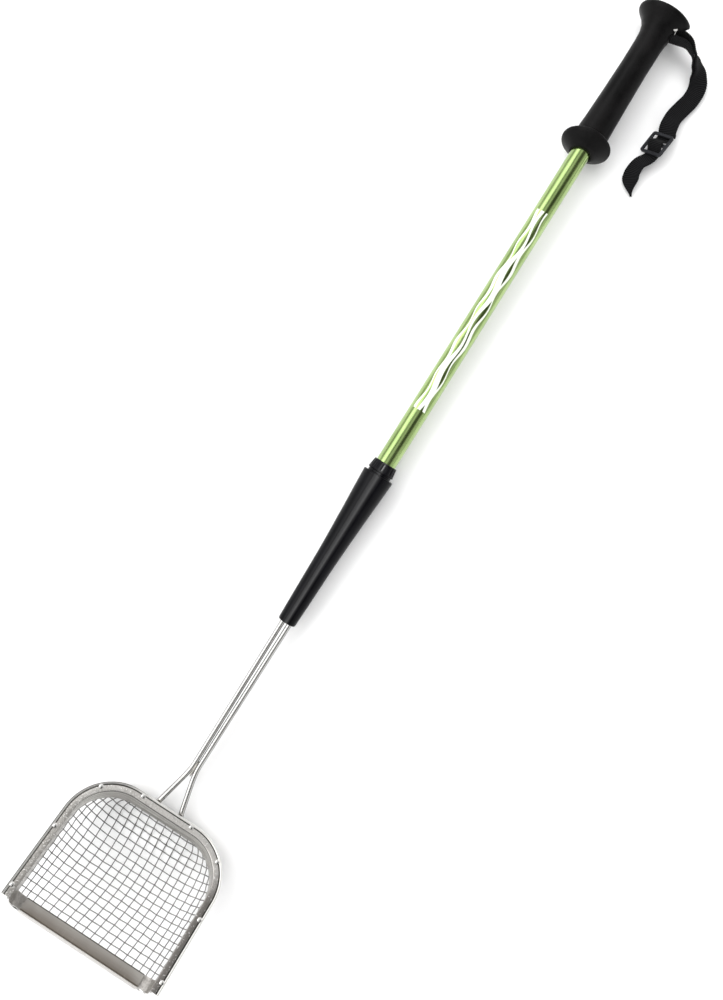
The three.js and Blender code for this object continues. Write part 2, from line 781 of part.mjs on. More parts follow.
function layerStations(from, to, count, offset, outward) {
  const stations = [];
  for (let i = 0; i <= count; i += 1) {
    const distance = mix(from, to, i / count);
    const { at, width, normal } = strapFrame(distance);
    stations.push({
      at: at.addScaledVector(normal, offset(distance)),
      width,
      out: normal.clone().multiplyScalar(outward),
    });
  }
  return stations;
}

function strapLoop() {
  const upper = layerStations(BUCKLE_AT - 0.6, 0.4, 72, upperOffset, 1);
  const lower = layerStations(0.4, BUCKLE_AT - 10.5, 40, lowerOffset, -1);
  const { tangent, width, normal } = strapFrame(0.01);
  const pin = new THREE.Vector3(PIN_X, PIN_Y, PIN_HEIGHT);
  const wrap = [];
  for (let i = 0; i <= 8; i += 1) {
    const angle = Math.PI * i / 8;
    const out = normal.clone().multiplyScalar(Math.cos(angle))
      .addScaledVector(tangent, -Math.sin(angle));
    wrap.push({ at: pin.clone().addScaledVector(out, 2.7), width: width.clone(), out });
  }
  return ribbon([...upper, ...wrap, ...lower]);
}

function strapTail() {
  const stations = layerStations(BUCKLE_AT + 0.6, STRAP_END, 34, bowAtBuckle, 1);
  stations.forEach((station, i) => {
    const left = (stations.length - 1 - i) / 5;
    station.scale = left < 1 ? mix(0.25, 1, left) : 1;
  });
  return ribbon(stations);
}

function buckle() {
  const length = 17.4;
  const width = WEBBING_WIDTH + 6.3;
  const slot = WEBBING_WIDTH + 2.2;
  const outline = new THREE.Shape();
  const r = 2.2;
  const [hx, hy] = [length / 2, width / 2];
  outline.moveTo(hx - r, -hy);
  outline.absarc(hx - r, -hy + r, r, -Math.PI / 2, 0, false);
  outline.absarc(hx - r, hy - r, r, 0, Math.PI / 2, false);
  outline.absarc(-hx + r, hy - r, r, Math.PI / 2, Math.PI, false);
  outline.absarc(-hx + r, -hy + r, r, Math.PI, Math.PI * 1.5, false);
  outline.closePath();
  const slots = [-1, 1].map((side) => {
    const hole = new THREE.BoxGeometry(5.6, slot, 4);
    hole.translate(side * 3.9, 0, 0);
    return hole;
  });
  return combine([plate(outline, -0.95, 0.95, 4)], slots);
}

add(strap, 'strap_loop', strapLoop(), 'webbing');
add(strap, 'strap_tail', strapTail(), 'webbing');
const buckleMesh = add(strap, 'buckle', buckle(), 'buckle_plastic');
const buckleFrame = strapFrame(BUCKLE_AT);
buckleMesh.position.copy(buckleFrame.at);
buckleMesh.setRotationFromMatrix(new THREE.Matrix4().makeBasis(
  buckleFrame.tangent,
  buckleFrame.normal.clone().cross(buckleFrame.tangent),
  buckleFrame.normal,
));

// ---------------------------------------------------------------- row origin

// The origin sits on the floor under the middle of the tool, the strap left out.
const box = new THREE.Box3().setFromObject(tool, true);
part.position.set(-(box.min.x + box.max.x) / 2, -(box.min.y + box.max.y) / 2, 0);

export default part;
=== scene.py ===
"""The looks of a child's long-handled beach sand scoop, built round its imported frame.

Every piece is in metres, in the row frame. Shapes are drawn in millimetres in the tool's
own axes, in the scoop's or in the strap's, and a matrix for each takes them to the row frame.
"""

import math

import bmesh
import bpy
import numpy as np
from mathutils import Matrix, Vector


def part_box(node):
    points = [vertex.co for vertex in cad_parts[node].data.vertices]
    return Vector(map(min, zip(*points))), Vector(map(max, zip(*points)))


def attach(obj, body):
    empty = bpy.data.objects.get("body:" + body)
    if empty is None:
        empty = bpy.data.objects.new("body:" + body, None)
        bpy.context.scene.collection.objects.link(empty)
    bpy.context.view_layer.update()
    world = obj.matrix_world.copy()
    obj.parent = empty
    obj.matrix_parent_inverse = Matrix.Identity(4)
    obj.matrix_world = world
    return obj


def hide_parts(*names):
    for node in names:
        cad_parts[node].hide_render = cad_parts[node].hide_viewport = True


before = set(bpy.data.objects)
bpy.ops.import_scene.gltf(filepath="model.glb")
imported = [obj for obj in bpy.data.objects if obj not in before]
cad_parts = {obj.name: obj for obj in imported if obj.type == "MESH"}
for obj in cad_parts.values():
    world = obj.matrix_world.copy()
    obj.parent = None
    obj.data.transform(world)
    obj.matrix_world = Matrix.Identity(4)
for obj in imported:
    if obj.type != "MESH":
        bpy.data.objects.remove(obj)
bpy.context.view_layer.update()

MM = 0.001

# ---- driving dimensions, mm

# Places along the shaft, from the middle of the tool.
HEEL_X = -268
FORK_X = -237
SLEEVE_FRONT_X = -105
SLEEVE_BACK_X = 22
COLLAR_FRONT_X = 24.6
COLLAR_BACK_X = 32
TUBE_FRONT_X = -18
TUBE_BACK_X = 340

# Between pieces that touch on the real tool.
GAP = 0.3

# Scoop frame. Insets are counted in from the flange's outer edge.
FRAME_WIDTH = 128
HALF_WIDTH = FRAME_WIDTH / 2
FRAME_LENGTH = 108.4
FRAME_CORNER = 39
FLANGE_WIDTH = 5.5
WALL_DEPTH = 20
SHEET = 1.0
WALL_INSET = FLANGE_WIDTH + SHEET
SCOOP_TILT = math.radians(38)
HEEL_HEIGHT = 3.5
LIP_LENGTH = 9.5
WALL_END = FRAME_LENGTH - LIP_LENGTH
LIP_OVERHANG = 2
LIP_CORNER = 8
LIP_TAB = 7
HEM_RADIUS = 1.1
FRONT_BEAD = 0.85

# Wire basket. Next to each side wall, CROWD_CLOTH of columns is pressed into CROWD_WIDTH.
BAG_DEPTH = 36
CLOTH = 1.0
CLOTH_INSET = FLANGE_WIDTH - GAP - CLOTH / 2
BAG_FRONT = WALL_END - 1.2
WIRE_RADIUS = 0.375
WIRE_SIDES = 7
COLUMN_PITCH = 6.9
ROW_PITCH = 5.9
FIRST_ROW = 3.5
ROWS = 24
COLUMNS_A_SIDE = 12
FEWEST_POINTS = 8
CROWD_WIDTH = 20
CROWD_CLOTH = 31
COLUMN_DRIFT = 4.0

# Shaft.
TUBE_RADIUS_FRONT = 7.75
TUBE_RADIUS_BACK = 7.15
TUBE_WALL = 1.2
SHAFT_BORE = TUBE_RADIUS_FRONT + 0.15
COLLAR_FLUTES = 16
ROD_RADIUS = 1.95
ROD_BACK_X = -60
ROD_SPREAD_TOP = 2.75
ROD_SPREAD_FORK = 2.1
ROD_SPREAD_HEEL = 10.5

# Wrist strap. Offsets and places under the buckle are from the strap's middle line.
WEBBING_WIDTH = 12.7
WEBBING_THICKNESS = 1.5
RIB_PITCH = 1.15
RIB_DEPTH = 0.22
YARN_PITCH = 0.62
PIN_X = 395.2
PIN_Y = -10.5
PIN_OFFSET = 2.7
LAYERS_CLOSE = 1.6
BUCKLE_REACH = 6
UNDER_BUCKLE = -4.95
TACK_ROWS = 7
TACK_PITCH = 1.1

# ---- the tool's own axes


def middle(node):
    low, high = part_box(node)
    return (low + high) / 2


def tool_axes():
    """X runs along the shaft to the grip, and Z is out of the scoop's mouth side."""
    along = (middle("grip_cap") - middle("collar")).normalized()
    across = Vector((0, 1, 0))
    collar_middle = (SLEEVE_BACK_X + GAP + COLLAR_BACK_X) / 2
    origin = middle("collar") - along * collar_middle * MM
    turn = Matrix((along, across, along.cross(across))).transposed().to_4x4()
    return Matrix.Translation(origin) @ turn @ Matrix.Scale(MM, 4)


def scoop_axes():
    """In the tool's axes: X runs from heel to lip, Y across, and Z out of the mouth."""
    c, s = math.cos(SCOOP_TILT), math.sin(SCOOP_TILT)
    turn = Matrix(((-c, 0, s), (0, -1, 0), (s, 0, c))).to_4x4()
    return Matrix.Translation((HEEL_X, 0, HEEL_HEIGHT)) @ turn


TOOL = tool_axes()
SCOOP_IN_TOOL = scoop_axes()
SCOOP = TOOL @ SCOOP_IN_TOOL

# ---- camera, lights, floor

# Places are in metres, turns in radians, the lens and the sensor in mm.
CAMERA_DISTANCE = 0.763
CAMERA_ROLL = math.radians(32.1)
CAMERA_PITCH = math.radians(-3.1)
CAMERA_SIDE = math.radians(2.4)
CAMERA_ASIDE = (0.0008, 0.0006)
CAMERA_LENS = 37.8
CAMERA_SENSOR = 36


def add_object(name, data):
    made = bpy.data.objects.new(name, data)
    bpy.context.scene.collection.objects.link(made)
    return made


def make_camera():
    """Looks down at the middle of the shaft, with the grip to the upper right."""
    along = Vector((math.sin(CAMERA_ROLL), -math.cos(CAMERA_ROLL), 0))
    side = Vector((math.cos(CAMERA_ROLL), math.sin(CAMERA_ROLL), 0))
    ahead = Vector((0, 0, 1))
    shaft = math.cos(CAMERA_PITCH) * along + math.sin(CAMERA_PITCH) * ahead
    lift = math.sin(CAMERA_PITCH) * along - math.cos(CAMERA_PITCH) * ahead
    right_hand = math.cos(CAMERA_SIDE) * side + math.sin(CAMERA_SIDE) * lift
    height = math.cos(CAMERA_SIDE) * lift - math.sin(CAMERA_SIDE) * side
    seen = Matrix((shaft, -right_hand, height)).transposed()
    turn = TOOL.to_3x3() @ Matrix.Scale(1 / MM, 3)
    right, down, forward = [turn @ Vector(row) for row in seen]
    data = bpy.data.cameras.new("camera")
    data.lens = CAMERA_LENS
    data.sensor_width = CAMERA_SENSOR
    data.clip_start = 0.05
    data.clip_end = 50
    camera = add_object("camera", data)
    pose = Matrix((right, -down, -forward)).transposed().to_4x4()
    place = TOOL.translation - forward * CAMERA_DISTANCE
    place -= right * CAMERA_ASIDE[0] + down * CAMERA_ASIDE[1]
    camera.matrix_world = Matrix.Translation(place) @ pose
    bpy.context.scene.camera = camera


# How bright the studio is by the angle from straight up, in degrees towards -Y.
STUDIO = [
    (-90, 0.34), (-70, 0.40), (-54, 1.9), (-48, 2.3), (-30, 2.3), (-22, 0.40), (-10, 0.38),
    (-5, 0.70), (8, 0.70), (14, 0.26), (20, 0.05), (42, 0.02), (52, 0.36), (62, 0.68), (90, 0.68),
]
STUDIO_STRENGTH = 1.25
STUDIO_SURROUND = (0.62, 0.62, 0.62, 1)


def make_world():
    """Bands of light along the shaft, in a plain grey surround low down and past its ends."""
    world = bpy.data.worlds.new("studio")
    bpy.context.scene.world = world
    world.use_nodes = True
    tree = world.node_tree
    tree.nodes.clear()
    parts = xyz(tree, node(tree, "TexCoord").outputs["Generated"])
    angle = maths(tree, "ARCTAN2", times(tree, parts["Y"], -1), parts["Z"])
    place = ranged(tree, angle, -math.pi / 2, math.pi / 2)
    ramp = node(tree, "ValToRGB", {"Fac": place})
    stops = ramp.color_ramp.elements
    while len(stops) < len(STUDIO):
        stops.new(0.5)
    for stop, (degrees, level) in zip(stops, STUDIO):
        stop.position = (degrees + 90) / 180
        stop.color = (level, level, level, 1)
    end = ranged(tree, maths(tree, "ABSOLUTE", parts["X"]), 0.72, 0.94)
    low = ranged(tree, parts["Z"], 0.16, 0.30, 1, 0)
    light = mixed(tree, maths(tree, "MAXIMUM", end, low), ramp.outputs["Color"], STUDIO_SURROUND)
    glow = node(tree, "Background", {"Color": light, "Strength": STUDIO_STRENGTH})
    node(tree, "OutputWorld", {"Surface": glow.outputs[0]})


def make_lamp(name, place, aim, size, power):
    data = bpy.data.lights.new(name, "AREA")
    data.shape = "DISK"
    data.size = size
    data.energy = power
    lamp = add_object(name, data)
    lamp.location = place
    lamp.rotation_euler = (Vector(aim) - Vector(place)).to_track_quat("-Z", "Y").to_euler()
    lamp.visible_glossy = False


def make_floor():
    """A wide pale floor, a hair below the tool."""
    size, level = 12, -0.0003
    corners = [(-size, -size, level), (size, -size, level), (size, size, level), (-size, size, level)]
    floor = mesh_object("floor", corners, [(0, 1, 2, 3)])
    material, tree, shader = new_material("floor")
    grain = noise(tree, 30, 2)
    colour = mixed(tree, grain, (0.90, 0.90, 0.90, 1), (0.92, 0.92, 0.92, 1))
    plug(tree, shader, {"Base Color": colour, "Roughness": 0.9, "Specular IOR Level": 0.1})
    floor.data.materials.append(material)


# ---- shader helpers


def node(tree, kind, inputs=None, **settings):
    made = tree.nodes.new("ShaderNode" + kind)
    for key, value in settings.items():
        setattr(made, key, value)
    plug(tree, made, inputs or {})
    return made


def plug(tree, target, inputs):
    """Sets each of a node's named inputs to a plain value, or links a socket to it."""
    for key, value in inputs.items():
        if isinstance(value, bpy.types.NodeSocket):
            tree.links.new(value, target.inputs[key])
        else:
            target.inputs[key].default_value = value


def maths(tree, operation, a, b=0.0):
    return node(tree, "Math", {0: a, 1: b}, operation=operation).outputs[0]


def plus(tree, a, b):
    return maths(tree, "ADD", a, b)


def times(tree, a, b):
    """The product, which for two masks is 1 only where both are 1."""
    return maths(tree, "MULTIPLY", a, b)


def ranged(tree, value, low, high, to_low=0, to_high=1):
    inputs = {"Value": value, "From Min": low, "From Max": high, "To Min": to_low, "To Max": to_high}
    return node(tree, "MapRange", inputs).outputs[0]


def mixed(tree, share, a, b):
    """Colour a where share is 0, and b where it is 1."""
    return node(tree, "Mix", {0: share, 6: a, 7: b}, data_type="RGBA").outputs[2]


def xyz(tree, vector):
    return node(tree, "SeparateXYZ", {"Vector": vector}).outputs


def space(tree, scale=(1, 1, 1), kind="Object"):
    """The object's coordinates or the UVs, both in metres, times scale."""
    coordinates = node(tree, "TexCoord").outputs[kind]
    return node(tree, "Mapping", {"Vector": coordinates, "Scale": scale}).outputs[0]


def place_in(tree, axes):
    """Where a point is in the tool's or the scoop's axes, in mm."""
    kind = "VectorMath"
    ends = {0: space(tree), 1: axes.translation}
    offset = node(tree, kind, ends, operation="SUBTRACT").outputs[0]
    rows = (axes.to_3x3() @ Matrix.Scale(1 / MM ** 2, 3)).transposed()
    dots = [node(tree, kind, {0: offset, 1: row}, operation="DOT_PRODUCT") for row in rows]
    return [dot.outputs["Value"] for dot in dots]


def noise(tree, scale, detail=4.0, rough=0.55, stretch=(1, 1, 1), kind="Object"):
    vector = space(tree, stretch, kind)
    inputs = {"Vector": vector, "Scale": scale, "Detail": detail, "Roughness": rough}
    return node(tree, "TexNoise", inputs).outputs[0]


def new_material(name):
    material = bpy.data.materials.new(name)
    material.use_nodes = True
    tree = material.node_tree
    return material, tree, tree.nodes["Principled BSDF"]


def bump(tree, shader, height, depth_mm):
    made = node(tree, "Bump", {"Height": height, "Distance": depth_mm * MM, "Strength": 1.0})
    plug(tree, shader, {"Normal": made.outputs["Normal"]})


def edge_wear(tree):
    """1 on sharp outer edges, where handling rubs a surface bright."""
    point = node(tree, "NewGeometry").outputs["Pointiness"]
    return ranged(tree, point, 0.52, 0.60)


# ---- materials

BRIGHT_STEEL = (0.86, 0.85, 0.82, 1)
# Near-black steel, used for painted shade and painted shadow lines.
SHADED_STEEL = (0.05, 0.047, 0.042, 1)


def metal(name, dark, light, rough, grain, stretch, stain=26, depth=0.012, kind="Object"):
    """Drawn or brushed steel: fine lines along the grain, slow stains and rubbed edges."""
    material, tree, shader = new_material(name)
    lines = noise(tree, grain, 5, 0.7, stretch, kind)
    stains = noise(tree, stain, 4, 0.6)
    cloud = plus(tree, times(tree, lines, 0.55), times(tree, stains, 0.45))
    share = ranged(tree, cloud, 0.34, 0.66)
    rubbed = times(tree, edge_wear(tree), 0.5)
    colour = mixed(tree, rubbed, mixed(tree, share, dark, light), BRIGHT_STEEL)
    roughness = ranged(tree, share, 0, 1, rough[1], rough[0])
    plug(tree, shader, {"Base Color": colour, "Roughness": roughness, "Metallic": 1.0})
    bump(tree, shader, lines, depth)
    return material, tree, shader, colour


# How far round the frame's section, from the hem's outer edge, its roll and the painted shadow line past it
# end, mm.
HEM_ROLL = 3.0
HEM_SHADOW_LINE = 3.9


def flange_colour(tree, from_heel, across, cloud, scuffs):
    """Scuffed and sparkling, darker on the right leg, with a painted shadow line past the hem and painted
    shade on the hem's left edge.
    """
    around = xyz(tree, space(tree, (1 / MM,) * 3, "UV"))["Y"]
    left = ranged(tree, across, -34, -10, 1, 0)
    right_leg = times(tree, ranged(tree, across, 44, 57), ranged(tree, from_heel, 18, 42))
    bright = mixed(tree, scuffs, (0.26, 0.245, 0.225, 1), (0.66, 0.64, 0.61, 1))
    darker_side = mixed(tree, cloud, (0.155, 0.143, 0.13, 1), (0.32, 0.30, 0.285, 1))
    sheet = mixed(tree, right_leg, bright, darker_side)
    speckle = plus(tree, noise(tree, 900, 2, 0.5), times(tree, left, 0.035))
    sheet = mixed(tree, ranged(tree, speckle, 0.635, 0.67, 0, 0.75), sheet, (1.0, 0.99, 0.97, 1))
    # Painted shadow: a dark line just past the hem's roll, all round.
    sheet = mixed(tree, ranged(tree, around, HEM_SHADOW_LINE - 0.3, HEM_SHADOW_LINE, 1, 0), sheet, SHADED_STEEL)
    # Painted shade: on the left leg the roll's outer edge is coloured dark. Elsewhere the roll is bright
    # steel.
    edge = times(tree, left, ranged(tree, around, 1.5, 1.8, 1, 0.25))
    roll = mixed(tree, edge, BRIGHT_STEEL, SHADED_STEEL)
    return mixed(tree, ranged(tree, around, HEM_ROLL - 0.3, HEM_ROLL, 1, 0), sheet, roll)


def wall_colour(tree, height, brushed, scuffs, turned):
    """Brushed, with a painted shadow line in the groove under the flange, and plain scuffed sheet where it
    is turned.
    """
    lines = ranged(tree, brushed, 0.36, 0.64)
    sheet = mixed(tree, lines, (0.20, 0.19, 0.17, 1), (0.86, 0.84, 0.80, 1))
    # Painted shadow: a near-black band on the groove under the flange's nose.
    painted_groove_shadow = times(tree, ranged(tree, height, -3.2, -2.9), ranged(tree, height, -1.2, -0.9, 1, 0))
    sheet = mixed(tree, times(tree, painted_groove_shadow, 0.85), sheet, (0.02, 0.018, 0.016, 1))
    corner = mixed(tree, scuffs, (0.34, 0.32, 0.30, 1), (0.72, 0.70, 0.67, 1))
    return mixed(tree, turned, sheet, corner)


def frame_steel():
    """The frame's sheet: a speckled flange over a brushed wall, with dented front corners."""
    material, tree, shader = new_material("frame_steel")
    from_heel, across, height = place_in(tree, SCOOP)
    brushed = noise(tree, 620, 5, 0.75, (0.018, 1, 1), "UV")
    mottled = noise(tree, 560, 5, 0.66)
    slow = noise(tree, 90, 3, 0.5)
    cloud = plus(tree, times(tree, mottled, 0.7), times(tree, slow, 0.3))
    near_heel = ranged(tree, from_heel, 12, 46, 0.22, 0)
    scuffs = ranged(tree, plus(tree, cloud, near_heel), 0.34, 0.74)
    in_front = ranged(tree, from_heel, WALL_END - 2, WALL_END)
    turned = times(tree, in_front, ranged(tree, height, -10, -6, 1, 0))
    on_flange = ranged(tree, height, -1.0, -0.7)
    wall = wall_colour(tree, height, brushed, scuffs, turned)
    colour = mixed(tree, on_flange, wall, flange_colour(tree, from_heel, across, cloud, scuffs))
    gloss = mixed(tree, on_flange, brushed, mottled)
    rubbed = times(tree, edge_wear(tree), 0.4)
    plug(tree, shader, {
        "Base Color": mixed(tree, rubbed, colour, (0.90, 0.89, 0.86, 1)),
        "Roughness": plus(tree, ranged(tree, gloss, 0.3, 0.7, 0.50, 0.30), times(tree, turned, 0.2)),
        "Metallic": 1.0,
    })
    dents = times(tree, times(tree, slow, turned), 30)
    bump(tree, shader, plus(tree, gloss, dents), 0.012)
    return material


def lip_steel():
    """Darker sheet, brushed across the mouth, with painted shade along its back edge and a bright front
    roll.
    """
    material, tree, shader, colour = metal(
        "lip_steel", (0.185, 0.156, 0.129, 1), (0.235, 0.204, 0.173, 1), (0.56, 0.68),
        520, (1, 0.05, 1), stain=34,
    )
    from_heel = place_in(tree, SCOOP)[0]
    scratches = noise(tree, 1600, 2, 0.4, (0.05, 1, 0.05))
    scratched = mixed(tree, ranged(tree, scratches, 0.67, 0.73, 0, 0.25), colour, (0.55, 0.52, 0.48, 1))
    in_front = ranged(tree, from_heel, FRAME_LENGTH - 0.3, FRAME_LENGTH)
    rolled = mixed(tree, in_front, scratched, (0.90, 0.88, 0.85, 1))
    # Painted shade: the back edge, by the wall, is coloured near black.
    painted_shade_at_back = ranged(tree, from_heel, WALL_END + 0.5, WALL_END + 0.9, 0.9, 0)
    plug(tree, shader, {"Base Color": mixed(tree, painted_shade_at_back, rolled, (0.045, 0.04, 0.034, 1))})
    return material


def wire_steel():
    """Drawn wire, dull all the way round, with its bright steel painted near black as shade."""
    # Painted shade: near-black colours and a dark edge tint stand in for the bright steel.
    material, tree, shader, _ = metal(
        "wire_steel", (0.002, 0.002, 0.002, 1), (0.040, 0.039, 0.037, 1), (0.42, 0.56),
        1500, (1, 1, 1), stain=30, depth=0.01,
    )
    plug(tree, shader, {"Specular Tint": (0.1, 0.1, 0.1, 1)})
    return material


def polished_steel():
    return metal(
        "polished_steel", (0.55, 0.545, 0.53, 1), (0.80, 0.79, 0.77, 1), (0.12, 0.26),
        900, (0.05, 1, 1), stain=45, depth=0.004,
    )[0]


def rod_steel():
    """Bright rod, drawn along its length, with painted shade along its two sides."""
    material, tree, shader, colour = metal(
        "rod_steel", (0.56, 0.55, 0.53, 1), (0.86, 0.85, 0.83, 1), (0.14, 0.24),
        1100, (0.02, 1, 1), stain=70, depth=0.0015, kind="UV",
    )
    # Painted shade: where the surface faces sideways, the colour goes near black.
    normal = node(tree, "NewGeometry").outputs["Normal"]
    upright = maths(tree, "ABSOLUTE", xyz(tree, normal)["Z"])
    darker_side = ranged(tree, upright, 0.42, 0.70, 0.9, 0)
    plug(tree, shader, {"Base Color": mixed(tree, darker_side, colour, (0.03, 0.029, 0.027, 1))})
    return material


def weld_steel():
    return metal(
        "weld_steel", (0.26, 0.24, 0.22, 1), (0.66, 0.63, 0.58, 1), (0.26, 0.50),
        700, (1, 1, 1), stain=300, depth=0.05,
    )[0]


# The waves printed on the tube, all in mm. Each band has its place to one side of the middle,
# how high and how long its wave is, and half its width.
PRINT_FROM = 77
PRINT_TO = 242
PRINT_BANDS = [(-3.3, 0.75, 30.0, 0.7), (0.0, 1.15, 41.0, 1.35), (3.4, 0.7, 27.0, 0.65)]


def print_mask(tree):
    """1 on the wave bands along the top of the tube, and 0 elsewhere."""
    parts = xyz(tree, space(tree, (1 / MM,) * 3))
    start = TOOL.translation.x / MM
    axis_height = (TOOL @ Vector(((PRINT_FROM + PRINT_TO) / 2, 0, 0))).z / MM
    total = None
    for offset, swing, length, half in PRINT_BANDS:
        phase = times(tree, parts["X"], 2 * math.pi / length)
        line = plus(tree, times(tree, maths(tree, "SINE", phase), swing), offset)
        swell = times(tree, maths(tree, "COSINE", times(tree, phase, 0.5)), 0.45 * half)
        apart = maths(tree, "ABSOLUTE", maths(tree, "SUBTRACT", parts["Y"], line))
        outside = maths(tree, "SUBTRACT", apart, plus(tree, swell, half))
        band = ranged(tree, outside, -0.06, 0.06, 1, 0)
        total = band if total is None else maths(tree, "MAXIMUM", total, band)
    after = ranged(tree, parts["X"], start + PRINT_FROM, start + PRINT_FROM + 0.3)
    before = ranged(tree, parts["X"], start + PRINT_TO, start + PRINT_TO + 0.3, 1, 0)
    above = ranged(tree, parts["Z"], axis_height, axis_height + 0.5)
    return times(tree, times(tree, total, times(tree, after, before)), above)


def green_aluminium():
    """Glossy green anodised tube with fine drawing lines and a white print of waves."""
    material, tree, shader = new_material("green_aluminium")
    lines = noise(tree, 1300, 4, 0.6, (0.02, 1, 1))
    cloud = noise(tree, 40, 3)
    share = ranged(tree, plus(tree, lines, cloud), 0.8, 1.2)
    green = mixed(tree, share, (0.225, 0.345, 0.085, 1), (0.335, 0.475, 0.150, 1))
    rubbed = ranged(tree, noise(tree, 900, 3, 0.6), 0.62, 0.68, 1, 0.75)
    ink = times(tree, print_mask(tree), rubbed)
    plug(tree, shader, {
        "Base Color": mixed(tree, ink, green, (0.80, 0.84, 0.76, 1)),
        "Metallic": ranged(tree, ink, 0, 1, 0.93, 0.0),
        "Roughness": plus(tree, ranged(tree, share, 0, 1, 0.17, 0.24), times(tree, ink, 0.28)),
        "Coat Weight": 0.7,
        "Coat Roughness": 0.12,
        "Coat IOR": 1.8,
    })
    bump(tree, shader, plus(tree, times(tree, lines, 0.15), ink), 0.03)
    return material


def moulded(name, dark, light, rough, stretch=(1, 1, 1), grain=1500, depth=0.02, shine=0.3):
    """Moulded black plastic or rubber: fine grain, slow mottling, paler rubbed edges."""
    material, tree, shader = new_material(name)
    fine = noise(tree, grain, 4, 0.6, stretch)
    slow = noise(tree, 38, 4, 0.6)
    share = ranged(tree, plus(tree, fine, times(tree, slow, 1.4)), 0.95, 1.45)
    rubbed = times(tree, edge_wear(tree), 0.3)
    pale = [c * 2.4 for c in light[:3]] + [1]
    plug(tree, shader, {
        "Base Color": mixed(tree, rubbed, mixed(tree, share, dark, light), pale),
        "Roughness": ranged(tree, share, 0, 1, *rough),
        "Specular IOR Level": shine,
    })
    bump(tree, shader, fine, depth)
    return material


def sleeve_plastic():
    """Black moulded plastic that hands have rubbed to a shine along its top."""
    material = moulded(
        "sleeve_plastic", (0.0012, 0.0012, 0.0018, 1), (0.0035, 0.0035, 0.005, 1), (0.30, 0.36),
        stretch=(0.04, 1, 1), grain=1100, depth=0.003, shine=0.08,
    )
    tree = material.node_tree
    _, across, up = place_in(tree, TOOL)
    from_shine = maths(tree, "ABSOLUTE", plus(tree, maths(tree, "ARCTAN2", across, up), 0.05))
    plug(tree, tree.nodes["Principled BSDF"], {
        "Coat Weight": ranged(tree, from_shine, 0.02, 0.30, 1.0, 0.04),
        "Coat Roughness": 0.32,
        "Coat IOR": 2.0,
    })
    return material


def webbing_cloth():
    """Black polyester webbing: yarns along it, ribs across it, a soft sheen."""
    material, tree, shader = new_material("webbing")
    uv = xyz(tree, space(tree, kind="UV"))
    ribs = maths(tree, "COSINE", times(tree, uv["X"], 2 * math.pi / (RIB_PITCH * MM)))
    yarns = maths(tree, "SINE", times(tree, uv["Y"], 2 * math.pi / (YARN_PITCH * MM)))
    fuzz = noise(tree, 2600, 4, 0.65)
    cloth = plus(tree, times(tree, yarns, 0.25), fuzz)
    share = ranged(tree, plus(tree, times(tree, ribs, 0.6), cloth), 0.1, 1.3)
    plug(tree, shader, {
        "Base Color": mixed(tree, share, (0.0008, 0.0008, 0.001, 1), (0.020, 0.020, 0.021, 1)),
        "Roughness": ranged(tree, share, 0, 1, 0.95, 0.78),
        "Specular IOR Level": 0.08,
        "Sheen Weight": 0.03,
        "Sheen Roughness": 0.45,
    })
    bump(tree, shader, cloth, 0.08)
    return material


# ---- mesh helpers


def shade_smooth(mesh):
    mesh.polygons.foreach_set("use_smooth", [True] * len(mesh.polygons))


def mesh_object(name, points, faces, uvs=None):
    """A new smooth-shaded mesh. uvs holds one pair for each corner, face by face."""
    mesh = bpy.data.meshes.new(name)
    mesh.from_pydata([tuple(p) for p in points], [], faces)
    shade_smooth(mesh)
    if uvs is not None:
        layer = mesh.uv_layers.new(name="UVMap")
        layer.data.foreach_set("uv", [c for pair in uvs for c in pair])
    mesh.update()
    return add_object(name, mesh)


def length_along(points):
    """How far each point is from the first, along the points."""
    return np.concatenate([[0], np.cumsum(np.linalg.norm(np.diff(points, axis=0), axis=1))])


def unit(rows):
    return rows / np.linalg.norm(rows, axis=1)[:, None]


def loft_parts(rings, loop=False):
    """Points, faces and UVs through closed rings, in the rings' own units."""
    rings = [np.asarray(r, float) for r in rings]
    count, size = len(rings), len(rings[0])
    along = length_along(np.array([r.mean(axis=0) for r in rings]))
    girth = rings[count // 2]
    around = length_along(np.concatenate([girth, girth[:1]]))
    faces, uvs = [], []
    for i in range(count if loop else count - 1):
        j = (i + 1) % count
        for k in range(size):
            m = (k + 1) % size
            faces.append((i * size + k, j * size + k, j * size + m, i * size + m))
            ahead = along[j] if j else along[i]
            uvs += [
                (along[i], around[k]), (ahead, around[k]),
                (ahead, around[k + 1]), (along[i], around[k + 1]),
            ]
    if not loop:
        faces.append(tuple(range(size)))
        faces.append(tuple((count - 1) * size + k for k in reversed(range(size))))
        uvs += [(along[0], around[k]) for k in range(size)]
        uvs += [(along[-1], around[k]) for k in reversed(range(size))]
    return np.concatenate(rings), faces, uvs


def loft(name, matrix, bodies, loop=False):
    """One mesh of one or more lofted bodies, each a list of rings in matrix's millimetres."""
    points, faces, uvs = [], [], []
    for rings in bodies:
        p, f, u = loft_parts(rings, loop)
        start = len(points)
        points += [matrix @ Vector(x) for x in p]
        faces += [tuple(start + i for i in face) for face in f]
        uvs += [(a * MM, b * MM) for a, b in u]
    piece = mesh_object(name, points, faces, uvs)
    face_outwards(piece)
    return piece


def face_outwards(piece):
    work = bmesh.new()
    work.from_mesh(piece.data)
    bmesh.ops.recalc_face_normals(work, faces=work.faces)
    work.to_mesh(piece.data)
    work.free()


def weld(piece):
    """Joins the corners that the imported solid's facets have in the same place."""
    piece.modifiers.new("weld", "WELD").merge_threshold = 1e-6


def crisp(piece, degrees=32):
    """Shades smooth but keeps edges sharper than this angle."""
    split = piece.modifiers.new("edges", "EDGE_SPLIT")
    split.split_angle = math.radians(degrees)
    return piece


def spun(profile, segments):
    """Rings round the X axis through [radius, x] pairs."""
    turn = np.linspace(0, 2 * math.pi, segments, endpoint=False)
    y, z = np.cos(turn), np.sin(turn)
    return [np.stack([np.full(segments, x), r * y, r * z], axis=1) for r, x in profile]


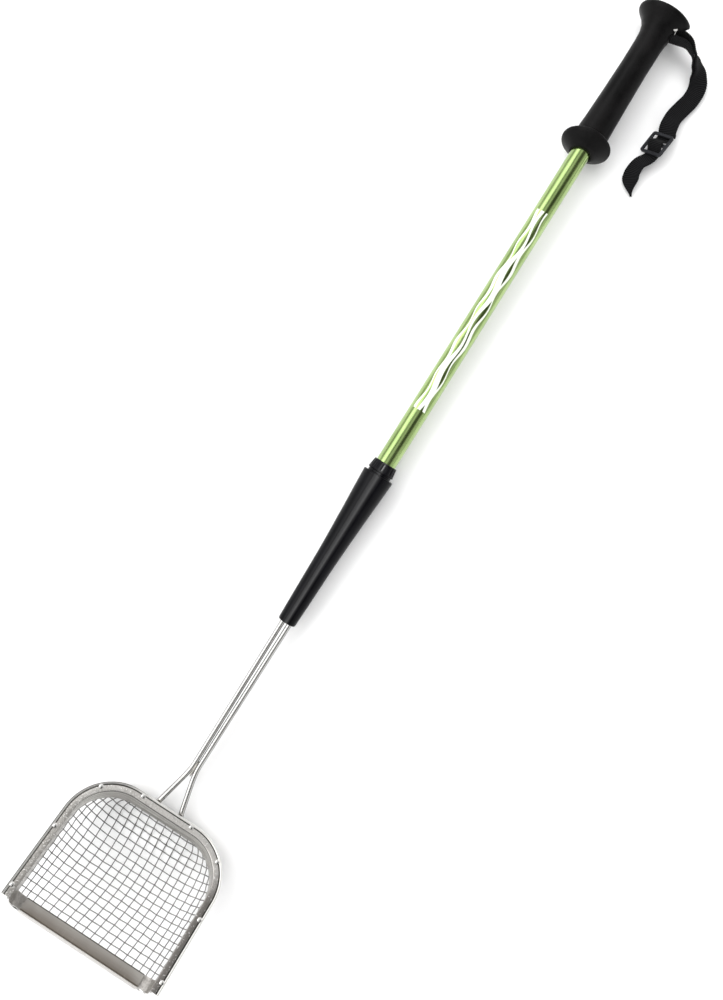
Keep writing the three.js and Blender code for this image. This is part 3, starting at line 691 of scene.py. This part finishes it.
def curve_through(points, steps):
    """A centripetal Catmull-Rom curve through the points, as many steps for each span."""
    p = np.asarray(points, float)
    p = np.concatenate([[2 * p[0] - p[1]], p, [2 * p[-1] - p[-2]]])
    made = []
    for i in range(1, len(p) - 2):
        d0, d1, d2 = [math.sqrt(np.linalg.norm(p[i + k + 1] - p[i + k])) for k in (-1, 0, 1)]
        a, b, c, d = p[i - 1], p[i], p[i + 1], p[i + 2]
        leave = ((b - a) / d0 - (c - a) / (d0 + d1) + (c - b) / d1) * d1
        arrive = ((c - b) / d1 - (d - b) / (d1 + d2) + (d - c) / d2) * d1
        for t in np.arange(steps) / steps:
            bend = (-3 * b + 3 * c - 2 * leave - arrive) * t ** 2
            made.append(b + leave * t + bend + (2 * b - 2 * c + leave + arrive) * t ** 3)
    made.append(p[-2])
    return np.array(made)


def bar_rings(points, radius, sides):
    """Rings of a round bar along points. radius is one number, or one for each point."""
    p = np.asarray(points, float)
    radii = np.broadcast_to(radius, len(p))
    tangents = unit(np.gradient(p, axis=0))
    normal = np.array(Vector(tangents[0]).orthogonal().normalized())
    turn = np.linspace(0, 2 * math.pi, sides, endpoint=False)[:, None]
    rings = []
    for here, ahead, r in zip(p, tangents, radii):
        normal = normal - ahead * (normal @ ahead)
        normal /= np.linalg.norm(normal)
        side = np.cross(ahead, normal)
        rings.append(here + r * (np.cos(turn) * normal + np.sin(turn) * side))
    return rings


def smooth(edge0, edge1, x):
    t = np.clip((x - edge0) / (edge1 - edge0), 0, 1)
    return t * t * (3 - 2 * t)


def arc(cx, cy, radius, start, end, steps):
    """Points on an arc, from start to end in degrees."""
    turn = np.radians(np.linspace(start, end, steps))
    return [(cx + radius * math.cos(t), cy + radius * math.sin(t)) for t in turn]


def dress(piece, material, slot, body, *stands_for):
    piece.data.materials.clear()
    piece.data.materials.append(material)
    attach(piece, body)
    if stands_for:
        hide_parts(*stands_for)
    return piece


def dress_cad(name, material):
    """Gives a CAD node its material, smooth faces and crisp edges."""
    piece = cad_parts[name]
    mesh = piece.data
    mesh.materials.clear()
    mesh.materials.append(material)
    if "custom_normal" in mesh.attributes:
        mesh.attributes.remove(mesh.attributes["custom_normal"])
    shade_smooth(mesh)
    weld(piece)
    crisp(piece)


# ---- scoop frame


def arch_path(front):
    """Places on the flange's outer edge from one front end round the heel to the other.

    Each is a point and the direction in from the edge, in the scoop's X and Y.
    """
    cy = HALF_WIDTH - FRAME_CORNER
    path = [((q, HALF_WIDTH), (0, -1)) for q in np.linspace(front, FRAME_CORNER, 24)[:-1]]
    for x, y in arc(0, 0, 1, 90, 180, 30):
        path.append(((FRAME_CORNER * (1 + x), cy + FRAME_CORNER * y), (-x, -y)))
    path += [((0, w), (1, 0)) for w in np.linspace(cy, 0, 10)[1:]]
    mirrored = [((q, -w), (dq, -dw)) for (q, w), (dq, dw) in reversed(path[:-1])]
    return path + mirrored


def flange_profile():
    """The frame's top from its outer hem in, over a nose, to the groove above the wall."""
    hem = arc(0.95, -0.45, 0.95, 200, 20, 12)
    nose = arc(WALL_INSET - 0.35, -0.55, 0.55, 90, -50, 9)
    groove = [(WALL_INSET - 0.6, -1.15), (WALL_INSET - 0.6, -1.85), (WALL_INSET, -2.1)]
    return hem + [(2.6, 0.0)] + nose + groove


def under_flange():
    """From the wall's outer face back out, under the flange, to the hem."""
    bend = arc(FLANGE_WIDTH - 1.0, -2.0, 1.0, 0, 90, 5)
    return bend + [(2.0, -SHEET), (0.9, -1.35)]


def sweep(path, profile):
    """A ring for each place on the path, through the profile's (inset, height) pairs."""
    return [[(p[0] + d[0] * inset, p[1] + d[1] * inset, n) for inset, n in profile] for p, d in path]


def rim_sheet():
    """The pressed frame: a hemmed flange, a rolled corner and an upright wall, all round."""
    rounded = 0.35
    foot = [(WALL_INSET, -n) for n in (6, 12, WALL_DEPTH - rounded)] + [(WALL_INSET - rounded, -WALL_DEPTH)]
    foot += [(FLANGE_WIDTH + rounded, -WALL_DEPTH)]
    foot += [(FLANGE_WIDTH, -n) for n in (WALL_DEPTH - rounded, 12, 6)]
    arch = sweep(arch_path(WALL_END), flange_profile() + foot + under_flange())
    cx = WALL_INSET + LIP_CORNER
    top = -WALL_DEPTH + LIP_CORNER
    turned_in = [(WALL_INSET, -6)] + arc(cx, top, LIP_CORNER, 180, 270, 12) + [(cx + LIP_TAB, -WALL_DEPTH)]
    back_out = [(cx + LIP_TAB, -WALL_DEPTH - SHEET)] + arc(cx, top, LIP_CORNER + SHEET, 270, 180, 12)
    section = flange_profile() + turned_in + back_out + [(FLANGE_WIDTH, -6)] + under_flange()
    eased = [(inset + 0.12 * (inset < FLANGE_WIDTH), n) for inset, n in section]
    steps = np.linspace(WALL_END, FRAME_LENGTH - 0.5, 8).tolist()
    bodies = [arch]
    for side in (1, -1):
        leg = [((q, side * HALF_WIDTH), (0, -side)) for q in steps]
        front = [((FRAME_LENGTH, side * HALF_WIDTH), (0, -side))]
        bodies.append(sweep(leg, section) + sweep(front, eased))
    return crisp(loft("rim_sheet", SCOOP, bodies), 40)


def front_bead():
    """The rolled edge on the front of each corner, from the flange down to the lip's hem."""
    middle_inset = FLANGE_WIDTH + SHEET / 2
    radius = LIP_CORNER + SHEET / 2
    cx = middle_inset + radius
    top = -WALL_DEPTH + LIP_CORNER
    section = [(middle_inset, n) for n in (-0.8, -3, -6, -9)] + arc(cx, top, radius, 180, 270, 12)
    section += [(cx + 2, top - radius), (cx + LIP_TAB - 1, top - radius)]
    bodies = []
    for side in (1, -1):
        points = [(FRAME_LENGTH + 0.1, side * (HALF_WIDTH - inset), n) for inset, n in section]
        bodies.append(bar_rings(points, FRONT_BEAD, 10))
    return crisp(loft("front_bead", SCOOP, bodies), 50)


def lip_sheet():
    """The plate across the mouth: brushed sheet with its front edge rolled over."""
    half = HALF_WIDTH - WALL_INSET - LIP_CORNER - 0.6
    bottom = -WALL_DEPTH + GAP
    top = bottom + SHEET
    front = FRAME_LENGTH + LIP_OVERHANG
    roll = arc(front - HEM_RADIUS, bottom + HEM_RADIUS, HEM_RADIUS, 184, -150, 26)
    section = [(WALL_END, bottom + 0.3), (WALL_END, top), (front - 3.3, top)]
    section += [(front - 2.9, top - 0.02), (front - 2.5, top - 0.3)] + roll
    section += [(front - 3.4, bottom), (WALL_END + 0.3, bottom)]
    flat = [0.4 - half, *np.linspace(8 - half, half - 8, 12), half - 0.4]
    edges = [(-half, 0.94), *((w, 1.0) for w in flat), (half, 0.94)]
    centre = WALL_END + 9
    rings = [[(centre + (q - centre) * scale, w, n) for q, n in section] for w, scale in edges]
    return crisp(loft("lip_sheet", SCOOP, [rings]), 40)


# ---- wire basket


def bag_depth(q):
    """How far the bag hangs below the cloth's margin at q, in its middle."""
    rise = smooth(CLOTH_INSET - 1, CLOTH_INSET + 17, q)
    return (BAG_DEPTH - WALL_DEPTH - 1) * rise * smooth(BAG_FRONT + 4, 34, q)


def cloth_half_width(q):
    """How far the cloth's margin is from the middle at q, straight or round the corner."""
    r = FRAME_CORNER - CLOTH_INSET
    reach = np.clip(FRAME_CORNER - q, 0, None)
    return HALF_WIDTH - FRAME_CORNER + np.sqrt(np.clip(r * r - reach * reach, 0, None))


def bag_height(q, w):
    """The height of the cloth's middle layer, which is rounder across than along."""
    across = np.clip(np.abs(w) / cloth_half_width(q), 0, 1)
    hollow = (1 - across ** 3.8) ** 0.6
    return -WALL_DEPTH - CLOTH / 2 - bag_depth(q) * hollow


def cloth_end(w):
    """How near the heel the cloth reaches at w."""
    r = FRAME_CORNER - CLOTH_INSET
    aside = np.clip(np.abs(w) - (HALF_WIDTH - FRAME_CORNER), 0, r)
    return FRAME_CORNER - np.sqrt(r * r - aside * aside)


def drift(q, w):
    """How far the columns lean aside, most in the middle of the bag."""
    share = np.clip((q - CLOTH_INSET) / (BAG_FRONT - CLOTH_INSET), 0, 1)
    across = np.clip(w / cloth_half_width(q), -1, 1)
    return COLUMN_DRIFT * np.sin(math.pi * share) * (1 - across ** 2)


def section_at(q):
    """Half of the cloth's cross section at q: each w, and the column measure there.

    The press crowds the columns together in the last stretch before the side wall.
    """
    w = cloth_half_width(q) * np.sin(np.linspace(0, math.pi / 2, 90))
    far = length_along(np.stack([w, bag_height(q, w)], axis=1))
    start = far[-1] - CROWD_WIDTH
    into = np.clip((far - start) / CROWD_WIDTH, 0, 1)
    ease = CROWD_CLOTH / CROWD_WIDTH
    share = (ease - np.sqrt(ease * ease - 4 * (ease - 1) * into)) / (2 * (ease - 1))
    return w, np.where(far < start, far, start + CROWD_CLOTH * share)


def column_line(measure):
    """The column at this measure from the middle, from the lip to where it meets the wall."""
    line = []
    for q in np.concatenate([np.linspace(BAG_FRONT, 20, 70), np.linspace(19.5, CLOTH_INSET + 0.05, 40)]):
        w, reach = section_at(q)
        if abs(measure) > reach[-1]:
            break
        place = math.copysign(np.interp(abs(measure), reach, w), measure)
        line.append((q, place + drift(q, place)))
    return np.array(line)


def row_line(distance):
    """The row that crosses every column this far from the lip, measured on the cloth."""
    widest = HALF_WIDTH - CLOTH_INSET
    line = []
    for w in widest * np.sin(np.linspace(0, math.pi / 2, 80)):
        q = np.linspace(BAG_FRONT, cloth_end(w), 90)
        far = length_along(np.stack([q, bag_height(q, np.full(90, w))], axis=1))
        if distance > far[-1]:
            break
        line.append((np.interp(distance, far, q), w))
    return np.array([(q, -w) for q, w in reversed(line[1:])] + line)


def column_measure(q, w):
    """Where (q, w) is among the columns, as column_line counts them."""
    place = w - drift(q, w)
    places, reach = section_at(q)
    return math.copysign(np.interp(abs(place), places, reach), place)


def row_measure(q, w):
    """Where (q, w) is among the rows, as row_line counts them."""
    line = np.linspace(BAG_FRONT, q, 60)
    return length_along(np.stack([line, bag_height(line, np.full(60, w))], axis=1))[-1]


def wire_path(line, crossings, turned_up):
    """A wire's middle line, which goes over one crossing wire and under the next."""
    q, w = line.T
    n = bag_height(q, w)
    step = 0.05
    slope_q = (bag_height(q + step, w) - bag_height(q - step, w)) / (2 * step)
    slope_w = (bag_height(q, w + step) - bag_height(q, w - step)) / (2 * step)
    normal = unit(np.stack([-np.clip(slope_q, -3, 3), -np.clip(slope_w, -3, 3), np.ones(len(q))], axis=1))
    lift = (WIRE_RADIUS - 0.02) * np.cos(math.pi * (np.array(crossings) + turned_up))
    return np.stack([q, w, n], axis=1) + normal * lift[:, None]


def tuck(end):
    """Where a wire's end is bent up between the wall and its retaining band."""
    return [(end[0], end[1], n) for n in np.linspace(0.4 - WALL_DEPTH, 5 - WALL_DEPTH, 4)]


def column_tail(w):
    """Where a column runs on to the front: under the lip plate, or under a corner's tab."""
    tab_end = HALF_WIDTH - WALL_INSET - LIP_CORNER - LIP_TAB - 1
    under_plate = abs(w) < tab_end
    height = -WALL_DEPTH - (0.12 if under_plate else SHEET + 0.6)
    reach = (7, 2) if under_plate else (5, 1)
    return [(BAG_FRONT + q, w, height) for q in reach]


def wire_cloth():
    """Woven steel cloth pressed into a bag. Rows and columns pass over and under each other."""
    bodies = []
    for j in range(-COLUMNS_A_SIDE, COLUMNS_A_SIDE):
        line = column_line((j + 0.5) * COLUMN_PITCH)
        if len(line) > FEWEST_POINTS:
            rows = [(row_measure(q, w) - FIRST_ROW) / ROW_PITCH for q, w in line]
            path = wire_path(line, rows, j)
            points = np.concatenate([column_tail(path[0][1]), path, tuck(path[-1])])
            bodies.append(bar_rings(points, WIRE_RADIUS, WIRE_SIDES))
    for k in range(ROWS):
        line = row_line(FIRST_ROW + k * ROW_PITCH)
        if len(line) > FEWEST_POINTS:
            columns = [column_measure(q, w) / COLUMN_PITCH - 0.5 for q, w in line]
            path = wire_path(line, columns, k + 1)
            points = np.concatenate([tuck(path[0])[::-1], path, tuck(path[-1])])
            bodies.append(bar_rings(points, WIRE_RADIUS, WIRE_SIDES))
    return loft("wire_cloth", SCOOP, bodies)


# ---- rods and welds


def scoop_point(q, w, n):
    """A point of the scoop's axes, in the tool's."""
    return np.array(SCOOP_IN_TOOL @ Vector((q, w, n)))


def rod_path(side):
    """One rod: straight beside its twin, out at the fork, then down the back of the frame."""
    foot_top = scoop_point(0.6, side * ROD_SPREAD_HEEL, -5.6)
    foot_end = scoop_point(0.6, side * (ROD_SPREAD_HEEL + 0.6), -17)
    corners = [
        (ROD_BACK_X, -side * ROD_SPREAD_TOP, 0),
        (SLEEVE_FRONT_X + 5, -side * ROD_SPREAD_TOP, 0),
        (FORK_X + 4, -side * ROD_SPREAD_FORK, 0),
        (FORK_X - 4, -side * (ROD_SPREAD_FORK + 1.1), 0),
        (foot_top[0] + 4.5, -side * (ROD_SPREAD_HEEL - 1.2), -0.1),
        (foot_top[0] + 0.9, -side * (ROD_SPREAD_HEEL - 0.1), foot_top[2] - 0.2),
        tuple(foot_end),
    ]
    corners = [np.array(c, float) for c in corners]
    path = [corners[0]]
    for a, b, c in zip(corners, corners[1:], corners[2:]):
        before, after = np.linalg.norm(a - b), np.linalg.norm(c - b)
        reach = min(4, before / 2.2, after / 2.2)
        start, end = b + (a - b) * reach / before, b + (c - b) * reach / after
        for t in np.linspace(0, 1, 9):
            path.append(start * (1 - t) ** 2 + b * 2 * t * (1 - t) + end * t ** 2)
    path.append(corners[-1])
    return np.array(path)


def rod(name, side):
    return crisp(loft(name, TOOL, [bar_rings(rod_path(side), ROD_RADIUS, 24)]), 50)


def weld_rings(start, end, radius, ripples, seed):
    """One weld bead from start to end, rippled as the torch laid it."""
    rng = np.random.default_rng(seed)
    t = np.linspace(0, 1, ripples * 6 + 1)
    points = np.outer(1 - t, start) + np.outer(t, end)
    points += np.interp(t, np.linspace(0, 1, 9), rng.normal(0, 0.12, 9))[:, None]
    crown = np.sqrt(np.clip(1 - (2 * t - 1) ** 4, 0.03, 1))
    wave = 0.86 + 0.14 * np.abs(np.sin(t * math.pi * ripples))
    return bar_rings(points, radius * crown * wave, 14)


def welds():
    """Beads beside each rod's foot, and between the rods where they part."""
    bodies = []
    for side in (-1, 1):
        for edge in (-1, 1):
            aside = ROD_SPREAD_HEEL + edge * (ROD_RADIUS - 0.25)
            start = scoop_point(2.1, side * aside, -5.4)
            end = scoop_point(2.3, side * (aside + 0.4), -15.2)
            bodies.append(weld_rings(start, end, 1.15, 7, 11 + side + 4 * edge))
        start = scoop_point(1.4, side * (ROD_SPREAD_HEEL - 1.9), -3.2)
        end = scoop_point(1.4, side * (ROD_SPREAD_HEEL + 1.9), -3.2)
        bodies.append(weld_rings(start, end, 1.2, 4, 31 + side))
    for level in (-1, 1):
        start = np.array([FORK_X - 3.5, 0, level * 0.95])
        end = np.array([FORK_X + 9, 0, level * 1.1])
        bodies.append(weld_rings(start, end, 0.8, 9, 51 + level))
    return loft("weld_beads", TOOL, bodies)


# ---- shaft


def tube_radius(x):
    return np.interp(x, [TUBE_FRONT_X, TUBE_BACK_X], [TUBE_RADIUS_FRONT, TUBE_RADIUS_BACK])


def tube_skin():
    """The tube: a slight taper with chamfered ends and an open bore."""
    stations = np.linspace(TUBE_FRONT_X + 0.3, TUBE_BACK_X - 0.3, 24)
    outer = [(tube_radius(TUBE_FRONT_X) - 0.3, TUBE_FRONT_X)]
    outer += [(tube_radius(x), x) for x in stations]
    outer += [(tube_radius(TUBE_BACK_X) - 0.3, TUBE_BACK_X)]
    inner = [(tube_radius(x) - TUBE_WALL, x) for x in (TUBE_BACK_X, TUBE_FRONT_X)]
    return crisp(loft("tube_skin", TOOL, [spun(outer + inner, 96)], loop=True))


def collar_ring():
    """The clamp collar: a rolled lip, then a cone with moulded flutes along it."""
    outer = [(9.0, SLEEVE_BACK_X + 0.03), (9.1, COLLAR_FRONT_X - 0.6)]
    for t in np.linspace(0, math.pi, 7):
        outer.append((9.9 + 0.3 * math.sin(t), COLLAR_FRONT_X + 0.2 - 0.45 * math.cos(t)))
    cone = [(9.95 - 0.8 * t, COLLAR_FRONT_X + 0.9 + 5.6 * t) for t in np.linspace(0, 1, 9)]
    end = [(9.0, COLLAR_BACK_X - 0.45), (8.85, COLLAR_BACK_X - 0.2), (8.6, COLLAR_BACK_X)]
    inner = [(SHAFT_BORE + 0.2, COLLAR_BACK_X), (SHAFT_BORE, COLLAR_BACK_X - 0.3)]
    inner += [(SHAFT_BORE, SLEEVE_BACK_X + 0.03)]
    segments = 240
    rings = spun(outer + cone + end + inner, segments)
    flutes = 0.5 + 0.5 * np.cos(2 * math.pi * COLLAR_FLUTES * np.arange(segments) / segments)
    for i in range(len(outer) + 1, len(outer) + len(cone) - 1):
        rings[i][:, 1:] *= (1 - 0.045 * flutes ** 3)[:, None]
    return crisp(loft("collar_ring", TOOL, [rings], loop=True), 40)


def sleeve_skin():
    """The tapered sleeve: a long smooth cone with rounded ends."""
    body = curve_through([
        (7.0, SLEEVE_FRONT_X + 2.4), (7.6, -78), (8.4, -46), (9.9, -14), (11.4, 12),
        (11.85, SLEEVE_BACK_X - 1.2),
    ], 10)
    outer = [(5.9, SLEEVE_FRONT_X), (6.45, SLEEVE_FRONT_X + 0.12), (6.75, SLEEVE_FRONT_X + 0.5)]
    outer += [(6.9, SLEEVE_FRONT_X + 1.2)] + body.tolist()
    outer += [(11.8, SLEEVE_BACK_X - 0.6), (11.55, SLEEVE_BACK_X - 0.15), (11.1, SLEEVE_BACK_X)]
    inner = [(SHAFT_BORE, SLEEVE_BACK_X), (SHAFT_BORE, TUBE_FRONT_X - 6), (5.9, -64)]
    inner += [(5.9, SLEEVE_FRONT_X + 4.2), (5.3, SLEEVE_FRONT_X + 4), (5.3, SLEEVE_FRONT_X)]
    return crisp(loft("sleeve_skin", TOOL, [spun(outer + inner, 96)], loop=True), 40)


def grip_skin():
    """The moulded grip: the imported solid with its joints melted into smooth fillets."""
    piece = add_object("grip_skin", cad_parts["grip"].data.copy())
    weld(piece)
    remesh = piece.modifiers.new("remesh", "REMESH")
    remesh.mode = "VOXEL"
    remesh.voxel_size = 0.55 * MM
    relax = piece.modifiers.new("relax", "SMOOTH")
    relax.factor = 0.5
    relax.iterations = 14
    bpy.context.view_layer.update()
    depsgraph = bpy.context.evaluated_depsgraph_get()
    melted = bpy.data.meshes.new_from_object(piece.evaluated_get(depsgraph))
    piece.modifiers.clear()
    piece.data = melted
    shade_smooth(melted)
    return piece


# ---- wrist strap

PIN = middle("strap_pin")
PIN_HEIGHT = PIN.z / MM
STRAP = Matrix.Translation((PIN.x - PIN_X * MM, PIN.y - PIN_Y * MM, 0)) @ Matrix.Scale(MM, 4)

# The strap's middle line: [x, y, height over the floor, twist in degrees].
# At twist 0 the webbing stands on edge, at 90 it lies flat.
STRAP_LINE = [
    [PIN_X, PIN_Y, PIN_HEIGHT, 0],
    [PIN_X + 1.2, PIN_Y - 6, PIN_HEIGHT, 0],
    [PIN_X + 1.2, PIN_Y - 12, PIN_HEIGHT - 0.8, 2],
    [394, -29, PIN_HEIGHT - 3.5, 14],
    [390, -36, PIN_HEIGHT - 8, 42],
    [385.5, -42, 7, 72],
    [380, -45.6, 3.6, 88],
    [371, -46.2, 2.6, 90],
    [362, -44.2, 2.9, 90],
    [354, -42.6, 4.0, 92],
    [346, -42.8, 6.6, 104],
    [338, -43.5, 9.4, 126],
    [329, -42.5, 9.8, 130],
    [320, -41.5, 9.4, 130],
    [312, -38.8, 6.6, 128],
    [303.5, -38.6, 5.2, 122],
    [296, -42.0, 4.0, 112],
    [290, -47.0, 2.4, 100],
]
BUCKLE_STATION = 12
STRAP_STEPS = 24
WRAP_STEPS = 12
RIB_STEPS = 6


def strap_frames():
    """Distances along the strap, with the place, width and normal directions at each."""
    stations = np.array(STRAP_LINE, float)
    line = curve_through(stations[:, :3], STRAP_STEPS)
    tangent = unit(np.gradient(line, axis=0))
    at = np.arange(len(line)) / STRAP_STEPS
    k = np.minimum(at.astype(int), len(stations) - 2)
    share = smooth(0, 1, at - k)
    twist = np.radians(stations[k, 3] * (1 - share) + stations[k + 1, 3] * share)[:, None]
    side = unit(np.cross([0, 0, 1], tangent))
    up = np.cross(tangent, side)
    width = up * np.cos(twist) - side * np.sin(twist)
    normal = side * np.cos(twist) + up * np.sin(twist)
    return length_along(line), line, width, normal


FAR, MIDDLE_LINE, WIDTHS, NORMALS = strap_frames()
BUCKLE_AT = FAR[BUCKLE_STATION * STRAP_STEPS]
LOWER_END = BUCKLE_AT - 10.5
STRAP_END = FAR[-1]


def sampled(table, distance):
    return np.stack([np.interp(distance, FAR, table[:, k]) for k in range(3)], axis=1)


def bow_at_buckle(d):
    """The webbing bows over the buckle's middle bar and under its two end bars."""
    near = np.minimum(np.abs(d - BUCKLE_AT), BUCKLE_REACH)
    bow = 2.75 * np.cos(math.pi * near / BUCKLE_REACH)
    return bow * (1 - smooth(BUCKLE_AT + 9, BUCKLE_AT + 20, d))


def pin_offset(d):
    """How far each layer is from the middle line: apart at the pin, then closer."""
    return PIN_OFFSET - LAYERS_CLOSE * smooth(4, 20, d)


def upper_offset(d):
    share = smooth(BUCKLE_AT - 18, BUCKLE_AT - 10, d)
    return pin_offset(d) * (1 - share) + bow_at_buckle(d) * share


def lower_offset(d):
    share = smooth(BUCKLE_AT - 26, BUCKLE_AT - 12, d)
    return UNDER_BUCKLE * share - pin_offset(d) * (1 - share)


def webbing(name, end, offset, outward, pointed):
    """One layer of ribbed webbing, from its turn round the pin to its end."""
    turn = np.linspace(math.pi / 2, 0, WRAP_STEPS)[:, None]
    pin = np.array([PIN_X, PIN_Y, PIN_HEIGHT])
    ahead = unit(np.diff(sampled(MIDDLE_LINE, [0.0, 0.5]), axis=0))[0]
    normal = NORMALS[0] * outward
    wrap_out = normal * np.cos(turn) - ahead * np.sin(turn)
    d = np.arange(0.4, end, RIB_PITCH / RIB_STEPS)
    normals = sampled(NORMALS, d)
    line = sampled(MIDDLE_LINE, d) + normals * offset(d)[:, None]
    centre = np.concatenate([pin + wrap_out * PIN_OFFSET, line])
    out = unit(np.concatenate([wrap_out, normals * outward]))
    width = np.concatenate([np.repeat(WIDTHS[:1], WRAP_STEPS, axis=0), sampled(WIDTHS, d)])
    far = length_along(centre)
    rib = 0.5 + 0.5 * np.cos(2 * math.pi * far / RIB_PITCH)
    half = WEBBING_WIDTH / 2 - RIB_DEPTH * (1 - rib)
    if pointed:
        half *= 1 - 0.88 * smooth(far[-1] - 14, far[-1], far)
    thick = WEBBING_THICKNESS / 2 - RIB_DEPTH * (1 - rib)
    face = (-0.93, -0.6, -0.2, 0.2, 0.6, 0.93)
    rings = []
    for c, w, o, h, t in zip(centre, width, out, half, thick):
        section = [(x * h, t) for x in face] + [(h, t * 0.45), (h, -t * 0.45)]
        section += [(-x * h, -t) for x in face] + [(-h, -t * 0.45), (-h, t * 0.45)]
        rings.append([c + w * x + o * y for x, y in section])
    piece = loft(name, STRAP, [rings])
    return piece, [STRAP @ Vector(c) for c in centre]


def bar_tack():
    """The zigzag of thread that sews the strap's end down beside the buckle."""
    bodies = []
    for row in range(TACK_ROWS):
        d = BUCKLE_AT - 20 + row * TACK_PITCH
        middle_at, width, normal = [sampled(table, [d])[0] for table in (MIDDLE_LINE, WIDTHS, NORMALS)]
        top = middle_at + normal * (lower_offset(np.array([d]))[0] - WEBBING_THICKNESS / 2 - 0.05)
        ahead = np.diff(sampled(MIDDLE_LINE, [d, d + 0.5]), axis=0)[0]
        thread = [top + width * x * 4.6 + ahead * x * 0.8 for x in np.linspace(-1, 1, 9)]
        bodies.append(bar_rings(thread, 0.2, 6))
    return loft("bar_tack", STRAP, bodies)


def buckle_body():
    """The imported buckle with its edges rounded, as moulded."""
    piece = add_object("buckle_body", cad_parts["buckle"].data.copy())
    mesh = piece.data
    work = bmesh.new()
    work.from_mesh(mesh)
    bmesh.ops.remove_doubles(work, verts=work.verts, dist=1e-6)
    bmesh.ops.dissolve_limit(work, angle_limit=math.radians(2), verts=work.verts, edges=work.edges)
    sharp = [e for e in work.edges if e.is_manifold and e.calc_face_angle() > math.radians(35)]
    bmesh.ops.bevel(work, geom=sharp, offset=0.35 * MM, segments=3, profile=0.6, affect="EDGES")
    work.to_mesh(mesh)
    work.free()
    shade_smooth(mesh)
    return crisp(piece, 35)


# ---- the whole tool


def build_strap():
    cloth = webbing_cloth()
    plastic = moulded(
        "buckle_plastic", (0.008, 0.008, 0.010, 1), (0.02, 0.021, 0.024, 1), (0.34, 0.46), shine=0.2,
    )
    buckle = dress(buckle_body(), plastic, "buckle_plastic", "strap", "buckle")
    upper, upper_path = webbing("strap_upper", STRAP_END, upper_offset, 1, True)
    lower, lower_path = webbing("strap_lower", LOWER_END, lower_offset, -1, False)
    dress(upper, cloth, "webbing", "strap", "strap_loop", "strap_tail")
    dress(lower, cloth, "webbing", "strap", "strap_loop")
    tack = dress(bar_tack(), cloth, "webbing", "strap")


def build_scoop(polished):
    sheet = frame_steel()
    dress(rim_sheet(), sheet, "brushed_steel", "tool", "rim_frame")
    dress(front_bead(), polished, "brushed_steel", "tool")
    dress(lip_sheet(), lip_steel(), "lip_steel", "tool", "lip_plate")
    dress(wire_cloth(), wire_steel(), "wire_steel", "tool", "wire_basket")
    dress_cad("retaining_band", sheet)


def build_shaft(polished):
    rods = rod_steel()
    black = sleeve_plastic()
    inner = moulded("inner_plastic", (0.012, 0.012, 0.013, 1), (0.024, 0.024, 0.026, 1), (0.5, 0.65))
    rubber = moulded(
        "rubber", (0.0015, 0.0015, 0.0016, 1), (0.007, 0.0066, 0.0068, 1), (0.34, 0.50),
        depth=0.025, shine=0.09,
    )
    dress(tube_skin(), green_aluminium(), "green_aluminium", "tool", "tube")
    dress(collar_ring(), black, "sleeve_plastic", "tool", "collar")
    dress(sleeve_skin(), black, "sleeve_plastic", "tool", "sleeve")
    dress(rod("rod_left_bar", -1), rods, "polished_steel", "tool", "rod_left")
    dress(rod("rod_right_bar", 1), rods, "polished_steel", "tool", "rod_right")
    dress(welds(), weld_steel(), "polished_steel", "tool")
    dress(grip_skin(), rubber, "rubber", "tool", "grip")
    for name in ("rod_socket", "tube_bung", "grip_cap"):
        dress_cad(name, inner)
    for name in ["cross_pin", "strap_pin"] + [f"rivet_{i}" for i in range(1, 9)]:
        dress_cad(name, polished)


make_camera()
build_strap()
make_world()
make_lamp("key", (0.6, 0.4, 2.0), (0, 0, 0), 1.8, 24)
make_lamp("fill", (0.0, -1.5, 1.4), (0, 0, 0), 1.8, 13)
make_floor()
bpy.context.scene.view_settings.view_transform = "Standard"
polished_metal = polished_steel()
build_scoop(polished_metal)
build_shaft(polished_metal)
